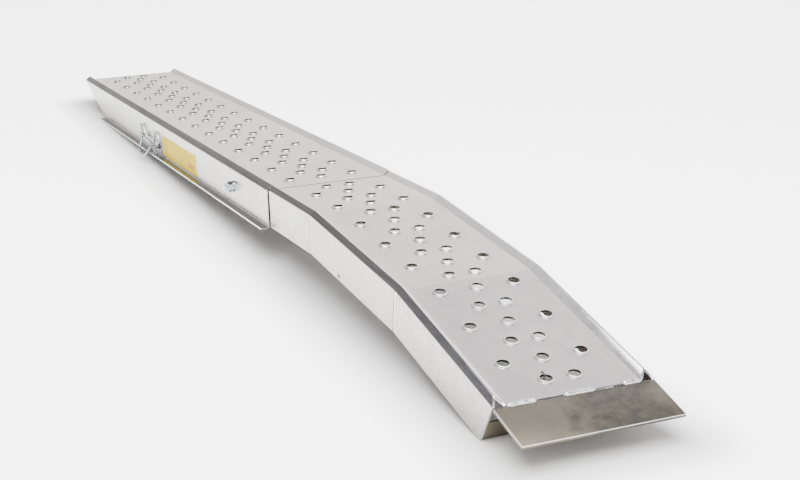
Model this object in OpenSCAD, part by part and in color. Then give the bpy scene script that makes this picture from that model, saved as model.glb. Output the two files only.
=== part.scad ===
// Folding arched loading ramp, in millimetres.
//
// The ground section is one straight formed sheet and the tailgate section is one arched
// formed sheet. Two arms inside the tailgate section reach back into the ground section and
// turn on side bolts, so the narrower tailgate section swings down and nests underneath.
//
// Three local frames are used. In all of them +Z leaves the top of the deck:
//   ground frame    origin where the decks meet, +Y runs to the end that stands on the ground
//   tailgate frame  the same origin, -Y runs to the tailgate, bent down at each bend
//   row frame       the ramp stands unfolded on z = 0, X across, +Y towards the ground end

/* [Ground section] */
// Length of the ground section's deck
ground_len = 1826; // [1500:1:2000]
// Width over the ground section's side walls
ground_w = 305; // [290:1:330]
// Height of the ground section's side walls below the deck
ground_wall_h = 88; // [86:1:100]
// Width of the flange that stands out from the foot of each wall
foot_flange_w = 17; // [8:1:25]
// Length of the slanted cut that lays the wall ends on the ground
ground_cut_len = 252; // [150:1:350]

/* [Tailgate section] */
// Width over the tailgate section's side walls
tailgate_w = 297; // [289:1:297]
// Height of the tailgate section's side walls below the deck
tailgate_wall_h = 83; // [78:1:84]
// Deck length from the joint to the first bend
first_run = 267; // [230:1:300]
// Deck length between the bends
second_run = 438; // [400:1:480]
// Deck length from the second bend to the end
third_run = 398; // [380:1:450]
// Angle of the first bend
first_bend = 5.9; // [4:0.1:7]
// Angle of the second bend
second_bend = 7.5; // [5:0.1:8]
// How far the foot of the wall is cut back at the tailgate end
wall_cut_back = 31; // [15:1:45]
// How far the curb's ridge is cut back at the tailgate end
curb_cut_back = 23.7; // [5:0.1:30]
// Gap between the two decks where they meet
deck_gap = 0.5; // [0.4:0.1:1.5]
// Extra gap at the foot of the walls where the sections meet
joint_vee = 5; // [2:0.5:10]

/* [Sheet and curbs] */
// Thickness of the formed sheet
sheet = 3.2; // [2.5:0.1:3.3]
// Width of the ground curb's inner slope
ground_curb_in = 14.5; // [10:0.5:18]
// Width of the ground curb's outer slope
ground_curb_out = 14; // [10:0.5:16]
// Height of the ground curb's ridge above the deck
ground_curb_h = 11; // [8:0.5:14]
// Width of the tailgate curb's inner slope
tailgate_curb_in = 13; // [10:0.5:16]
// Width of the tailgate curb's outer slope
tailgate_curb_out = 11; // [9:0.5:14]
// Height of the tailgate curb's ridge above the deck
tailgate_curb_h = 10; // [7:0.5:13]

/* [Traction holes] */
// Distance between rows of holes along the deck
row_pitch = 63.5; // [60:0.5:65]
// Rows on the ground section
ground_rows = 28; // [10:2:28]
// Rows on the tailgate section
tailgate_rows = 17; // [9:2:17]
// Distance from the ground end to the first row
ground_first_row = 42; // [35:1:60]
// Distance from the joint to the tailgate section's first row
tailgate_first_row = 37; // [30:1:45]
// Distance from the centreline to the outer holes of a row of three
outer_column = 74; // [60:0.5:85]
// Distance from the centreline to the holes of a row of two
inner_column = 26.5; // [22:0.5:40]
// Radius of a hole
hole_r = 11; // [8:0.5:12]
// Height of the raised lip round a hole
rim_h = 3; // [1:0.5:4]

/* [Hinge] */
// Distance from the joint to the pivot bolts
pivot_y = 254; // [220:1:280]
// Depth of the pivot bolts below the deck
pivot_depth = 41; // [40:1:44]
// Radius of the pivot bolts
bolt_r = 6.35; // [5:0.05:7]
// Thickness of the hinge arms
arm_t = 6.35; // [5:0.05:7]
// Length of each arm that is welded inside the tailgate section
arm_grip = 225; // [150:1:225]
// Fold angle at which the tailgate section is nested under the ground section
fold_end = 174; // [170:0.5:174]

/* [Tailgate lip] */
// Length of the lip plate
lip_len = 104; // [60:1:120]
// Width of the lip plate
lip_w = 296; // [280:1:296]
// Thickness of the lip plate
lip_t = 6; // [4:0.5:8]
// Angle of the lip plate below the deck it is welded to
lip_angle = 2.9; // [0:0.1:6]
// Height of the end plate between the wall ends
end_plate_h = 46; // [30:1:60]

/* [Storage latch] */
// Distance from the joint to the lock pin
pin_y = 926; // [900:1:960]
// Depth of the lock pin below the deck
pin_depth = 62.5; // [62:0.5:66]
// Radius of the lock pin
pin_r = 4; // [3:0.5:4]
// Travel of the lock pin
pin_travel = 6; // [5.5:0.5:8]
// Distance from the joint to the snap hook's anchor
hook_anchor_y = 1088; // [1086:1:1090]
// Radius of the snap hook's rod
hook_rod_r = 3.5; // [2.5:0.1:4]
// Lean of the snap hook away from the wall, over the foot flange
hook_lean = 24; // [20:1:30]

/* [Label] */
// Length of the blank label
label_len = 328; // [100:1:400]
// Height of the blank label
label_h = 56; // [30:1:60]

/* [Hidden] */

$fn = 48;

// Length of an extrusion that runs past everything it cuts
past = 400;
// Overrun of a cutting shape past the face it cuts through
over = 1;

ground_color = "Gainsboro";
tailgate_color = "LightGray";
plated_color = "Silver";
dark_color = "DimGray";

// Plate work
mitre_lap = 1.5;
run_margin = 20;
wall_tuck = 0.3;
deck_tuck = 1.7;
rim_top_r = hole_r + 1.2;
rim_foot_r = hole_r + 3.5;
lip_gap = 1;
lip_drop = 1.6;
lip_weld_r = 4.2;
lip_weld_spans = [[-124, -70], [-21, 38], [88, 124]];
end_plate_t = 4;
end_plate_return = 16;
weld_leg = 4;
seam_w = 4;
seam_proud = 0.5;
arm_weld_len = 50;
arm_weld_starts = [-215, -130, -60];

// Hinge hardware, measured outwards from the inside of the arm
arm_inner_x = tailgate_w / 2 - sheet - arm_t;
arm_outer_x = tailgate_w / 2 - sheet;
wall_inner_x = ground_w / 2 - sheet;
wall_outer_x = ground_w / 2;
arm_end_r = pivot_depth - sheet - 0.8;
side_play = 0.3;
bolt_play = 0.05;
washer_t = 2.5;
washer_r = 13;
spacer_r = 11;
bolt_head_t = 8;
bolt_flats_r = 10.9;
nut_t = 10.5;
nut_collar_t = 4;
nut_collar_r = 9.2;
bolt_tip_x = wall_outer_x + washer_t + nut_t + nut_collar_t + 5.5;

// Storage latch
chain_wire_r = 0.9;
chain_inner_len = 9;
chain_inner_w = 4.4;
chain_play = 0.4;
link_len = chain_inner_len + 2 * chain_wire_r;
eye_r = 3.8;
eye_wire_r = 1.3;
rivet_r = 2.5;
rivet_head_r = 5;
anchor_depth = 28;
pin_anchor_y = pin_y + 14;
anchor_eye_x = -wall_outer_x - 5.6;
bush_r = 6;
bush_flange_r = 8;
bush_flange_t = 2;
pin_tip_x = -wall_inner_x - 0.2;
pin_eye_r = 4.6;
pin_eye_x = -wall_outer_x - bush_flange_t - pin_travel - 0.4 - pin_eye_r - eye_wire_r;
tail_links = 2;
tail_pitch = chain_inner_len - 1;
hook_corner = [-wall_outer_x - 9, hook_anchor_y - 22, -anchor_depth - 21];
hook_path = [[20, -5], [-7, 4], [19, -41], [50, -50], [93, -49], [118, -12], [96, -8]];
hook_bends = [6, 9, 16, 16, 6];
gate_r = 2.4;
gate_play = 0.4;
gate_back = 1.8;
gate_start = hook_path[0];
gate_end = hook_path[len(hook_path) - 1];
gate_len = norm(gate_end - gate_start) - hook_rod_r - gate_play;
gate_tongue_t = 2;
gate_hinge_len = 7;
gate_tongue_end = 6.2;
rivet_pin_r = 1.2;
hook_ring_r = 6.6;
hook_ring_wire_r = 1.2;
ring_play = 0.2;

// Tether in the last row of the tailgate section
tether_row = tailgate_rows - 1;
tether_wire_r = 1.75;
tether_eye_r = 5.5;
tether_stem = 30;
tether_ring_r = 13;
tether_ring_wire_r = 2;
tether_path = [[5.4, -0.2], [5.4, 2.4], [-4.2, 2.4], [-4.2, -tether_stem]];
tether_bends = [2.3, 2.3];

// How the ramp stands: its feet are the far wall corners of each section, and the line
// through them is the floor.
total_run = first_run + second_run + third_run;
deck_edge = tailgate_w / 2 - tailgate_curb_out - tailgate_curb_in + deck_tuck;
ground_foot = [ground_len - ground_cut_len, -ground_wall_h];
tailgate_foot = tailgate_point(total_run, wall_cut_back, -tailgate_wall_h);
stand_pitch = atan2(ground_foot[1] - tailgate_foot[1], ground_foot[0] - tailgate_foot[0]);
lip_tip = lip_point(lip_len, -lip_drop - lip_t);
lip_tip_top = lip_point(lip_len, -lip_drop);
stand_lift = -turned(ground_foot, -stand_pitch)[1];
stand_back = min(turned(lip_tip, -stand_pitch)[0], turned(lip_tip_top, -stand_pitch)[0]);
stand_front = turned([ground_len, ground_curb_h], -stand_pitch)[0];
stand_shift = -(stand_back + stand_front) / 2;

// Turns a [y, z] point about the X axis.
function turned(p, angle) = [
    p[0] * cos(angle) - p[1] * sin(angle),
    p[0] * sin(angle) + p[1] * cos(angle)
];

// Turns a point by the fold angle about the pivot bolts, and back with a negative angle.
function folded(p, angle) =
    [pivot_y, -pivot_depth] + turned(p - [pivot_y, -pivot_depth], angle);

// Start [y, z] and slope of the tailgate deck's run that holds a distance from the joint.
function run_angle(d) =
    d < first_run ? 0 : d < first_run + second_run ? first_bend : first_bend + second_bend;
function run_start(d) = d < first_run ? 0 : d < first_run + second_run ? first_run
    : first_run + second_run;
function run_origin(d) =
    d < first_run ? [0, 0]
    : d < first_run + second_run ? [-first_run, 0]
    : [-first_run, 0] + turned([-second_run, 0], first_bend);

// Ground frame [y, z] of a point on the tailgate section: d along the deck from the joint,
// then a shift towards the joint and a height above the deck.
function tailgate_point(d, shift, height) =
    run_origin(d) + turned([run_start(d) - d + shift, height], run_angle(d));
function lip_point(along, height) =
    tailgate_point(total_run, 0, 0)
    + turned([-along, height], first_bend + second_bend + lip_angle);

// Right-hand normal of the step from a to b, and the corner of a path moved to that side.
function side_normal(a, b) = [b[1] - a[1], a[0] - b[0]] / norm(b - a);
function moved_corner(path, i, t) =
    i == 0 ? path[0] + t * side_normal(path[0], path[1])
    : i == len(path) - 1 ? path[i] + t * side_normal(path[i - 1], path[i])
    : let (n1 = side_normal(path[i - 1], path[i]), n2 = side_normal(path[i], path[i + 1]))
        path[i] + t * (n1 + n2) / (1 + n1 * n2);

// Outline of a formed sheet whose outside follows the path.
function sheet_outline(path, t) = concat(
    path,
    [for (i = [len(path) - 1 : -1 : 0]) moved_corner(path, i, t)]
);

// Outside of a section's cross-section from one foot to the other.
function half_section(w, curb_in, curb_out, curb_h, wall_h, flange) = concat(
    flange > 0
        ? [[-w / 2 - flange, sheet - wall_h], [-w / 2, sheet - wall_h]]
        : [[-w / 2, -wall_h]],
    [[-w / 2, 0], [-w / 2 + curb_out, curb_h], [-w / 2 + curb_out + curb_in, 0]]
);
function whole_section(half) = concat(
    half,
    [for (i = [len(half) - 1 : -1 : 0]) [-half[i][0], half[i][1]]]
);

// Columns of holes in a row: even rows have two holes and odd rows have three.
function row_columns(row) =
    row % 2 == 0 ? [-inner_column, inner_column] : [-outer_column, 0, outer_column];

module stand()
    translate([0, stand_shift, stand_lift]) rotate([-stand_pitch, 0, 0]) children();

// Puts children on the tailgate deck at a distance from the joint.
module on_tailgate(d) {
    at = tailgate_point(d, 0, 0);
    translate([0, at[0], at[1]]) rotate([run_angle(d), 0, 0]) children();
}

module mirror_sides(side) mirror([side > 0 ? 0 : 1, 0, 0]) children();

// A side view outline [y, z], extruded across the ramp between two x values.
module side_plate(x0, x1, outline)
    translate([x0, 0, 0]) rotate([90, 0, 90]) linear_extrude(x1 - x0) polygon(outline);

// A cutter as wide as the ramp, from a side view outline.
module side_cut(outline) side_plate(-past / 2, past / 2, outline);

// A formed section that runs from y = 0 towards -Y.
module formed_section(path, length)
    rotate([90, 0, 0]) linear_extrude(length) polygon(sheet_outline(path, sheet));

module across(x0, r, length, sides = 0)
    translate([x0, 0, 0]) rotate([0, 90, 0])
        if (sides > 0) cylinder(h = length, r = r / cos(180 / sides), $fn = sides);
        else cylinder(h = length, r = r);

module raised_rim()
    translate([0, 0, -over]) cylinder(h = rim_h + over, r1 = rim_foot_r + over, r2 = rim_top_r);

module hole_cut()
    translate([0, 0, -2 * sheet]) cylinder(h = 2 * sheet + rim_h + over, r = hole_r);

// ---- Ground section ----

module ground_holes()
    for (row = [0 : ground_rows - 1])
        for (x = row_columns(row))
            translate([x, ground_len - ground_first_row - row * row_pitch, 0]) children();

module ground_deck()
    color(ground_color) stand() {
        section = whole_section(half_section(
            ground_w, ground_curb_in, ground_curb_out, ground_curb_h,
            ground_wall_h, foot_flange_w));
        difference() {
            union() {
                translate([0, ground_len, 0]) formed_section(section, ground_len);
                ground_holes() raised_rim();
            }
            ground_holes() hole_cut();
            side_cut([
                [ground_foot[0], ground_foot[1] - over],
                [ground_foot[0], ground_foot[1]],
                [ground_len, -sheet],
                [ground_len + over, -sheet],
                [ground_len + over, ground_foot[1] - over]
            ]);
            translate([0, pivot_y, -pivot_depth]) {
                across(wall_inner_x - over, bolt_r, sheet + 2 * over);
                across(-wall_outer_x - over, bolt_r, sheet + 2 * over);
            }
            translate([0, pin_y, -pin_depth]) across(-wall_outer_x - over, bush_r, sheet + 2 * over);
            for (y = [hook_anchor_y, pin_anchor_y])
                translate([0, y, -anchor_depth])
                    across(-wall_outer_x - over, rivet_r, sheet + 2 * over);
        }
    }

module label()
    color("Khaki") stand()
        translate([-wall_outer_x - 0.4, 560, -80]) cube([0.4, label_len, label_h]);

// ---- Hinge hardware: each piece is drawn for the right side and mirrored for the left ----

module at_pivot(side) stand() mirror_sides(side) translate([0, pivot_y, -pivot_depth]) children();

module ring_across(x0, outer_r, inner_r, length)
    difference() {
        across(x0, outer_r, length);
        across(x0 - over, inner_r, length + 2 * over);
    }

module pivot_bolt(side)
    color(plated_color) at_pivot(side) {
        head_x = arm_inner_x - side_play - washer_t;
        across(head_x - bolt_head_t, bolt_flats_r, bolt_head_t, 6);
        across(head_x, bolt_r, bolt_tip_x - head_x);
    }

module inner_washer(side)
    color(plated_color) at_pivot(side)
        ring_across(arm_inner_x - side_play - washer_t, washer_r, bolt_r, washer_t);

module arm_spacer(side)
    color(plated_color) at_pivot(side)
        ring_across(arm_outer_x + side_play, spacer_r, bolt_r, wall_inner_x - arm_outer_x - side_play);

module outer_washer(side)
    color(plated_color) at_pivot(side) ring_across(wall_outer_x, washer_r, bolt_r, washer_t);

module lock_nut(side)
    color(plated_color) at_pivot(side)
        difference() {
            union() {
                across(wall_outer_x + washer_t, bolt_flats_r, nut_t, 6);
                across(wall_outer_x + washer_t + nut_t, nut_collar_r, nut_collar_t);
            }
            across(wall_outer_x, bolt_r, past);
        }

// ---- Storage latch on the left wall ----

module torus(major, minor) rotate_extrude() translate([major, 0]) circle(minor);

// Chain link along Z, in the XZ plane.
module chain_link() {
    leg = chain_inner_len - chain_inner_w;
    major = chain_inner_w / 2 + chain_wire_r;
    for (end = [0, 180])
        rotate([0, end, 0]) translate([0, 0, leg / 2]) rotate([90, 0, 0])
            rotate_extrude(angle = 180) translate([major, 0]) circle(chain_wire_r);
    for (x = [-major, major])
        translate([x, 0, -leg / 2]) cylinder(h = leg, r = chain_wire_r);
}

// Links at equal steps, each a quarter turn from the last. a and b are the centres of the
// wire at the two ends.
module chain(a, b, links, first_turn = 0) {
    along = (b - a) / norm(b - a);
    pitch = (norm(b - a) - link_len) / (links - 1);
    polar = acos(along[2]);
    bearing = atan2(along[1], along[0]);
    for (i = [0 : links - 1])
        translate(a + along * (link_len / 2 + i * pitch)) rotate([0, polar, bearing])
            rotate([0, 0, first_turn + (i % 2 == 0 ? 0 : 90)]) chain_link();
}

// Chain whose end links are looped round two wires, given by their centres and radii
module looped_chain(from, from_r, to, to_r, links) {
    along = (to - from) / norm(to - from);
    grip = chain_wire_r + chain_play;
    chain(from - (from_r + grip) * along, to + (to_r + grip) * along, links);
}

// Eye with a stem riveted through the left wall; the eye's hole runs along the ramp.
module eye_rivet(y)
    color(plated_color) stand() translate([0, y, -anchor_depth]) {
        stem_x = anchor_eye_x + eye_r;
        across(stem_x, rivet_r, -wall_inner_x - stem_x);
        across(-wall_inner_x, rivet_head_r, 1.2);
        translate([anchor_eye_x, 0, 0]) rotate([90, 0, 0]) torus(eye_r, eye_wire_r);
    }

module hook_anchor() eye_rivet(hook_anchor_y);
module pin_anchor() eye_rivet(pin_anchor_y);

module at_pin() stand() translate([0, pin_y, -pin_depth]) children();

module pin_bush()
    color(dark_color) at_pin()
        difference() {
            union() {
                across(-wall_outer_x - bush_flange_t, bush_flange_r, bush_flange_t);
                across(-wall_outer_x, bush_r, sheet);
            }
            across(-past, pin_r + bolt_play, past);
        }

module lock_pin()
    color(plated_color) at_pin() {
        across(pin_eye_x + pin_eye_r, pin_r, pin_tip_x - pin_eye_x - pin_eye_r);
        translate([pin_eye_x, 0, 0]) rotate([90, 0, 0]) torus(pin_eye_r, eye_wire_r);
    }

// Links that hang from the pin's eye
module pin_tail()
    color(plated_color) stand() {
        top = [pin_eye_x, pin_y, -pin_depth - pin_eye_r + eye_wire_r + chain_wire_r];
        chain(top, top - [0, 0, link_len + (tail_links - 1) * tail_pitch], tail_links, 90);
    }

// Links from the anchor's eye to the pin's eye
module pin_chain()
    color(plated_color) stand()
        looped_chain([anchor_eye_x, pin_anchor_y, -anchor_depth - eye_r], eye_wire_r,
                     [pin_eye_x, pin_y, -pin_depth + pin_eye_r], eye_wire_r, 5);

// The snap hook's own plane: X towards the joint, Y up, Z away from the wall.
module hook_plane()
    stand() translate(hook_corner) rotate([0, hook_lean, 0]) rotate([90, 0, -90]) children();

function bearing_of(a, b) = atan2(b[1] - a[1], b[0] - a[0]);
function wrapped(angle) = angle > 180 ? angle - 360 : angle <= -180 ? angle + 360 : angle;
function turn_at(path, i) =
    wrapped(bearing_of(path[i], path[i + 1]) - bearing_of(path[i - 1], path[i]));
function unit(angle) = [cos(angle), sin(angle)];

// Centre of the arc that rounds corner i of a path, and the bearing of the arc's middle
function bend_centre(path, bends, i) =
    let (turn = turn_at(path, i), heading = bearing_of(path[i - 1], path[i]))
    path[i] - bends[i - 1] * tan(abs(turn) / 2) * unit(heading)
        + bends[i - 1] * unit(heading + sign(turn) * 90);
function bend_bearing(path, i) =
    bearing_of(path[i - 1], path[i]) - sign(turn_at(path, i)) * 90 + turn_at(path, i) / 2;

// Points of a flat path whose inner corners are rounded to the given radii.
function rounded_path(path, bends, steps = 6) = concat(
    [path[0]],
    [for (i = [1 : len(path) - 2])
        let (turn = turn_at(path, i), centre = bend_centre(path, bends, i),
             middle = bend_bearing(path, i))
        for (k = [0 : steps])
            centre + bends[i - 1] * unit(middle + turn * (k / steps - 0.5))],
    [path[len(path) - 1]]
);

// Ring of a rod round point i of a flat path in XY, on the corner's mitre plane.
function rod_ring(path, i, r, sides) =
    let (before = i > 0 ? path[i] - path[i - 1] : path[1] - path[0],
         after = i < len(path) - 1 ? path[i + 1] - path[i] : before,
         sum = before / norm(before) + after / norm(after),
         along = sum / norm(sum),
         stretch = norm(before) / (before * along))
    [for (k = [0 : sides - 1])
        let (angle = 360 * k / sides, off = r * cos(angle) * stretch)
        [path[i][0] - along[1] * off, path[i][1] + along[0] * off, r * sin(angle)]];

// Round rod along a flat path in XY, with an arc of the given radius at each corner.
module bent_rod(path, bends, r, sides = 12) {
    route = rounded_path(path, bends);
    last = len(route) - 1;
    polyhedron(
        points = [for (i = [0 : last]) for (p = rod_ring(route, i, r, sides)) p],
        faces = concat(
            [[for (k = [0 : sides - 1]) k]],
            [for (i = [0 : last - 1]) for (k = [0 : sides - 1])
                [i * sides + k, (i + 1) * sides + k,
                 (i + 1) * sides + (k + 1) % sides, i * sides + (k + 1) % sides]],
            [[for (k = [sides - 1 : -1 : 0]) last * sides + k]]
        )
    );
}

// Frame at the gate's pivot end: X runs along the gate.
module along_gate()
    translate(gate_start) rotate([0, 0, bearing_of(gate_start, gate_end)]) children();

module snap_hook()
    color(plated_color) hook_plane() {
        bent_rod(hook_path, hook_bends, hook_rod_r);
        along_gate() difference() {
            translate([-gate_hinge_len / 2, -gate_r, -gate_tongue_t / 2])
                cube([gate_hinge_len / 2 + gate_tongue_end, 2 * gate_r, gate_tongue_t]);
            translate([gate_hinge_len / 2, 0, -past / 2]) cylinder(h = past, r = rivet_pin_r);
        }
    }

module gate_rivet()
    color(plated_color) hook_plane() along_gate()
        translate([gate_hinge_len / 2, 0, -gate_r - 0.6]) cylinder(h = 2 * gate_r + 1.2, r = rivet_pin_r);

module snap_gate()
    color(plated_color) hook_plane() along_gate()
        difference() {
            translate([gate_back, 0, 0]) rotate([0, 90, 0])
                cylinder(h = gate_len - gate_back, r = gate_r);
            translate([0, -past / 2, -gate_tongue_t / 2 - gate_play])
                cube([gate_hinge_len + gate_play, past, gate_tongue_t + 2 * gate_play]);
            translate([gate_hinge_len / 2, 0, -past / 2])
                cylinder(h = past, r = rivet_pin_r + bolt_play);
        }

// The ring hangs on the outside of the hook's first bend, and the chain pulls on its far side.
ring_bearing = bend_bearing(hook_path, 1);
ring_middle = bend_centre(hook_path, hook_bends, 1)
    + (hook_bends[0] + hook_ring_r - hook_ring_wire_r - hook_rod_r - ring_play) * unit(ring_bearing);
ring_pull = ring_middle + hook_ring_r * unit(ring_bearing);

module hook_ring()
    color(plated_color) hook_plane() translate(ring_middle)
        rotate([0, 0, ring_bearing]) rotate([90, 0, 0]) torus(hook_ring_r, hook_ring_wire_r);

module hook_chain()
    color(plated_color) stand()
        looped_chain([anchor_eye_x, hook_anchor_y, -anchor_depth - eye_r], eye_wire_r,
                     hook_corner + [ring_pull[1] * sin(hook_lean), -ring_pull[0],
                                    ring_pull[1] * cos(hook_lean)],
                     hook_ring_wire_r, 3);

// ---- Tailgate section ----

module tailgate_holes()
    for (row = [0 : tailgate_rows - 1])
        for (x = row_columns(row))
            on_tailgate(tailgate_first_row + row * row_pitch) translate([x, 0, 0]) children();

// Side view line at a height above the arched deck, bent on the mitre plane of each bend
function bend_point(d, height) =
    let (before = run_angle(d - over), after = run_angle(d))
    tailgate_point(d, 0, 0)
        + turned([0, height / cos((after - before) / 2)], (before + after) / 2);
function arch_line(height) = [
    tailgate_point(0, run_margin, height),
    bend_point(first_run, height),
    bend_point(first_run + second_run, height),
    tailgate_point(total_run, -run_margin, height)
];

// One piece of arched sheet between two x values and two heights
module arch_band(x0, x1, low, high) {
    top = arch_line(high);
    foot = arch_line(low);
    side_plate(x0, x1, concat(top, [for (i = [len(foot) - 1 : -1 : 0]) foot[i]]));
}

// Half-space on the joint side (+Y) or the tailgate side (-Y) of a bend's mitre plane. It
// stops short of the plane, so that the runs on either side overlap and make one sheet.
module mitre_side(angle, side)
    rotate([angle, 0, 0])
        translate([-past / 2, side > 0 ? mitre_lap : -past - mitre_lap, -past / 2]) cube(past);

// Moves point a by a distance along the line from b through a.
function along_line(b, a, distance) = a + distance * (a - b) / norm(a - b);

// The curb's two slopes. Their ends are tucked inside the wall and the deck, so that no two
// faces of the sheet's pieces lie in nearly one plane.
module tailgate_curb(start, length, bend_before, bend_after) {
    half = half_section(
        tailgate_w, tailgate_curb_in, tailgate_curb_out, tailgate_curb_h, tailgate_wall_h, 0);
    path = concat(half, [[0, 0]]);
    under = [for (i = [1 : 3]) moved_corner(path, i, sheet)];
    on_tailgate(start) difference() {
        translate([0, run_margin, 0]) rotate([90, 0, 0]) linear_extrude(length + 2 * run_margin)
            polygon([
                along_line(path[2], path[1], -wall_tuck / 2),
                path[2],
                along_line(path[2], path[3], deck_tuck),
                along_line(under[1], under[2], -wall_tuck),
                under[1],
                along_line(under[1], under[0], 2 * wall_tuck)
            ]);
        mitre_side(-bend_before / 2, 1);
        translate([0, -length, 0]) mitre_side(bend_after / 2, -1);
    }
}

module tailgate_side() {
    arch_band(-tailgate_w / 2, -tailgate_w / 2 + sheet, -tailgate_wall_h, wall_tuck);
    tailgate_curb(0, first_run, 0, first_bend);
    tailgate_curb(first_run, second_run, first_bend, second_bend);
    tailgate_curb(first_run + second_run, third_run, second_bend, 0);
}

module tailgate_deck()
    color(tailgate_color) stand()
        difference() {
            union() {
                arch_band(-deck_edge, deck_edge, -sheet, 0);
                tailgate_side();
                mirror([1, 0, 0]) tailgate_side();
                tailgate_holes() raised_rim();
            }
            tailgate_holes() hole_cut();
            // Joint end: a slim gap at the decks that opens towards the foot of the walls
            side_cut([
                [-deck_gap, past / 10], [-deck_gap, 0],
                [-deck_gap - joint_vee, -tailgate_wall_h], [-deck_gap - joint_vee, -past / 4],
                [past / 10, -past / 4], [past / 10, past / 10]
            ]);
            // Tailgate end: the walls and the curbs are cut back from the deck's edge
            on_tailgate(total_run) side_cut([
                [0, 0],
                [wall_cut_back, -tailgate_wall_h], [wall_cut_back, -tailgate_wall_h - over],
                [-past / 10, -tailgate_wall_h - over],
                [-past / 10, tailgate_curb_h + over],
                [curb_cut_back * (1 + over / tailgate_curb_h), tailgate_curb_h + over]
            ]);
            lock_hole();
        }

// Frame on the mitre plane of each bend
module on_bends()
    for (bend = [[first_run, first_bend], [first_run + second_run, second_bend]])
        on_tailgate(bend[0]) rotate([-bend[1] / 2, 0, 0]) children();

// Hole in the left wall that the lock pin enters when the ramp is folded
module lock_hole() {
    at = folded([pin_y, -pin_depth], -fold_end);
    translate([0, at[0], at[1]]) across(-tailgate_w / 2 - over, pin_r + 0.6, sheet + 2 * over);
}

module hinge_arm(side)
    color(plated_color) stand() mirror_sides(side)
        difference() {
            union() {
                side_plate(arm_inner_x, arm_outer_x, [
                    [-arm_grip, -pivot_depth - arm_end_r], [pivot_y, -pivot_depth - arm_end_r],
                    [pivot_y, -pivot_depth + arm_end_r], [-arm_grip, -pivot_depth + arm_end_r]
                ]);
                translate([0, pivot_y, -pivot_depth]) across(arm_inner_x, arm_end_r, arm_t);
            }
            translate([0, pivot_y, -pivot_depth])
                across(arm_inner_x - over, bolt_r + bolt_play, arm_t + 2 * over);
        }

// Fillets along the foot of an arm
module arm_welds(side)
    color(plated_color) stand() mirror_sides(side)
        for (y = arm_weld_starts)
            translate([arm_outer_x, y + arm_weld_len, -pivot_depth - arm_end_r])
                rotate([90, 0, 0]) linear_extrude(arm_weld_len)
                    polygon([[0, 0], [-weld_leg, 0], [0, -weld_leg]]);

// Beads on the outside of the wall where it was slit for each bend
module seam_welds(side)
    color(plated_color) stand() mirror_sides(side)
        on_bends() translate([tailgate_w / 2, 0, -tailgate_wall_h + 1])
            linear_extrude(tailgate_wall_h - 2)
                polygon([[0, -seam_w / 2], [seam_proud, -seam_w / 4],
                         [seam_proud, seam_w / 4], [0, seam_w / 2]]);

module on_lip() on_tailgate(total_run) rotate([lip_angle, 0, 0]) children();

module lip_plate()
    color("Tan") stand() on_lip()
        translate([-lip_w / 2, -lip_len, -lip_drop - lip_t])
            cube([lip_w, lip_len - lip_gap, lip_t]);

module lip_welds()
    color(plated_color) stand()
        difference() {
            on_tailgate(total_run)
                for (span = lip_weld_spans)
                    translate([0, -lip_gap / 2, -lip_drop / 2]) {
                        across(span[0] + lip_weld_r, lip_weld_r, span[1] - span[0] - 2 * lip_weld_r);
                        translate([span[0] + lip_weld_r, 0, 0]) sphere(lip_weld_r);
                        translate([span[1] - lip_weld_r, 0, 0]) sphere(lip_weld_r);
                    }
            on_lip() translate([-past / 2, -past - lip_gap, -past - lip_drop]) cube(past);
            on_tailgate(total_run) translate([-past / 2, 0, -past]) cube(past);
            on_lip() translate([-past / 2, -past / 2, -past - lip_drop]) cube(past);
        }

// Frame on the slanted wall ends: the origin is at the deck's edge and -Z runs down the cut
module on_wall_cut()
    on_tailgate(total_run) rotate([atan2(wall_cut_back, tailgate_wall_h), 0, 0]) children();

wall_cut_len = norm([wall_cut_back, tailgate_wall_h]);
end_plate_w = tailgate_w - 2 * sheet - 0.6;
foot_play = 0.5;
face_play = 0.8;

// A bent plate: its foot lies inside the walls' foot, and its face rises along the wall cut.
module end_plate()
    color("RosyBrown") stand() on_tailgate(total_run) {
        foot_z = -tailgate_wall_h + foot_play;
        face = function (z) wall_cut_back * -z / tailgate_wall_h + face_play;
        top_z = foot_z + end_plate_h * tailgate_wall_h / wall_cut_len;
        side_plate(-end_plate_w / 2, end_plate_w / 2, sheet_outline([
            [face(foot_z) + end_plate_return, foot_z], [face(foot_z), foot_z], [face(top_z), top_z]
        ], end_plate_t));
    }

module end_plate_welds()
    color(plated_color) stand() on_wall_cut()
        for (side = [0, 1]) mirror([side, 0, 0])
            translate([tailgate_w / 2 - sheet, face_play + end_plate_t, -wall_cut_len + 12])
                linear_extrude(end_plate_h - 16)
                    polygon([[0, 0], [-weld_leg, 0], [0, weld_leg]]);

// ---- Tether hook over the rim of a hole, hanging plumb ----

module at_tether()
    stand() on_tailgate(tailgate_first_row + tether_row * row_pitch)
        translate([-inner_column, hole_r + 0.6, rim_h])
            rotate([stand_pitch - run_angle(total_run), 0, 0]) children();

module tether_hook()
    color(dark_color) at_tether() {
        rotate([90, 0, 90]) bent_rod(tether_path, tether_bends, tether_wire_r);
        translate([0, tether_path[3][0], -tether_stem - tether_eye_r])
            rotate([0, 90, 0]) torus(tether_eye_r, tether_wire_r);
    }

module tether_ring()
    color(plated_color) at_tether()
        translate([0, tether_path[3][0], -tether_stem - tether_eye_r - tether_ring_r - 1.3])
            rotate([90, 0, 0]) torus(tether_ring_r, tether_ring_wire_r);

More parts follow.
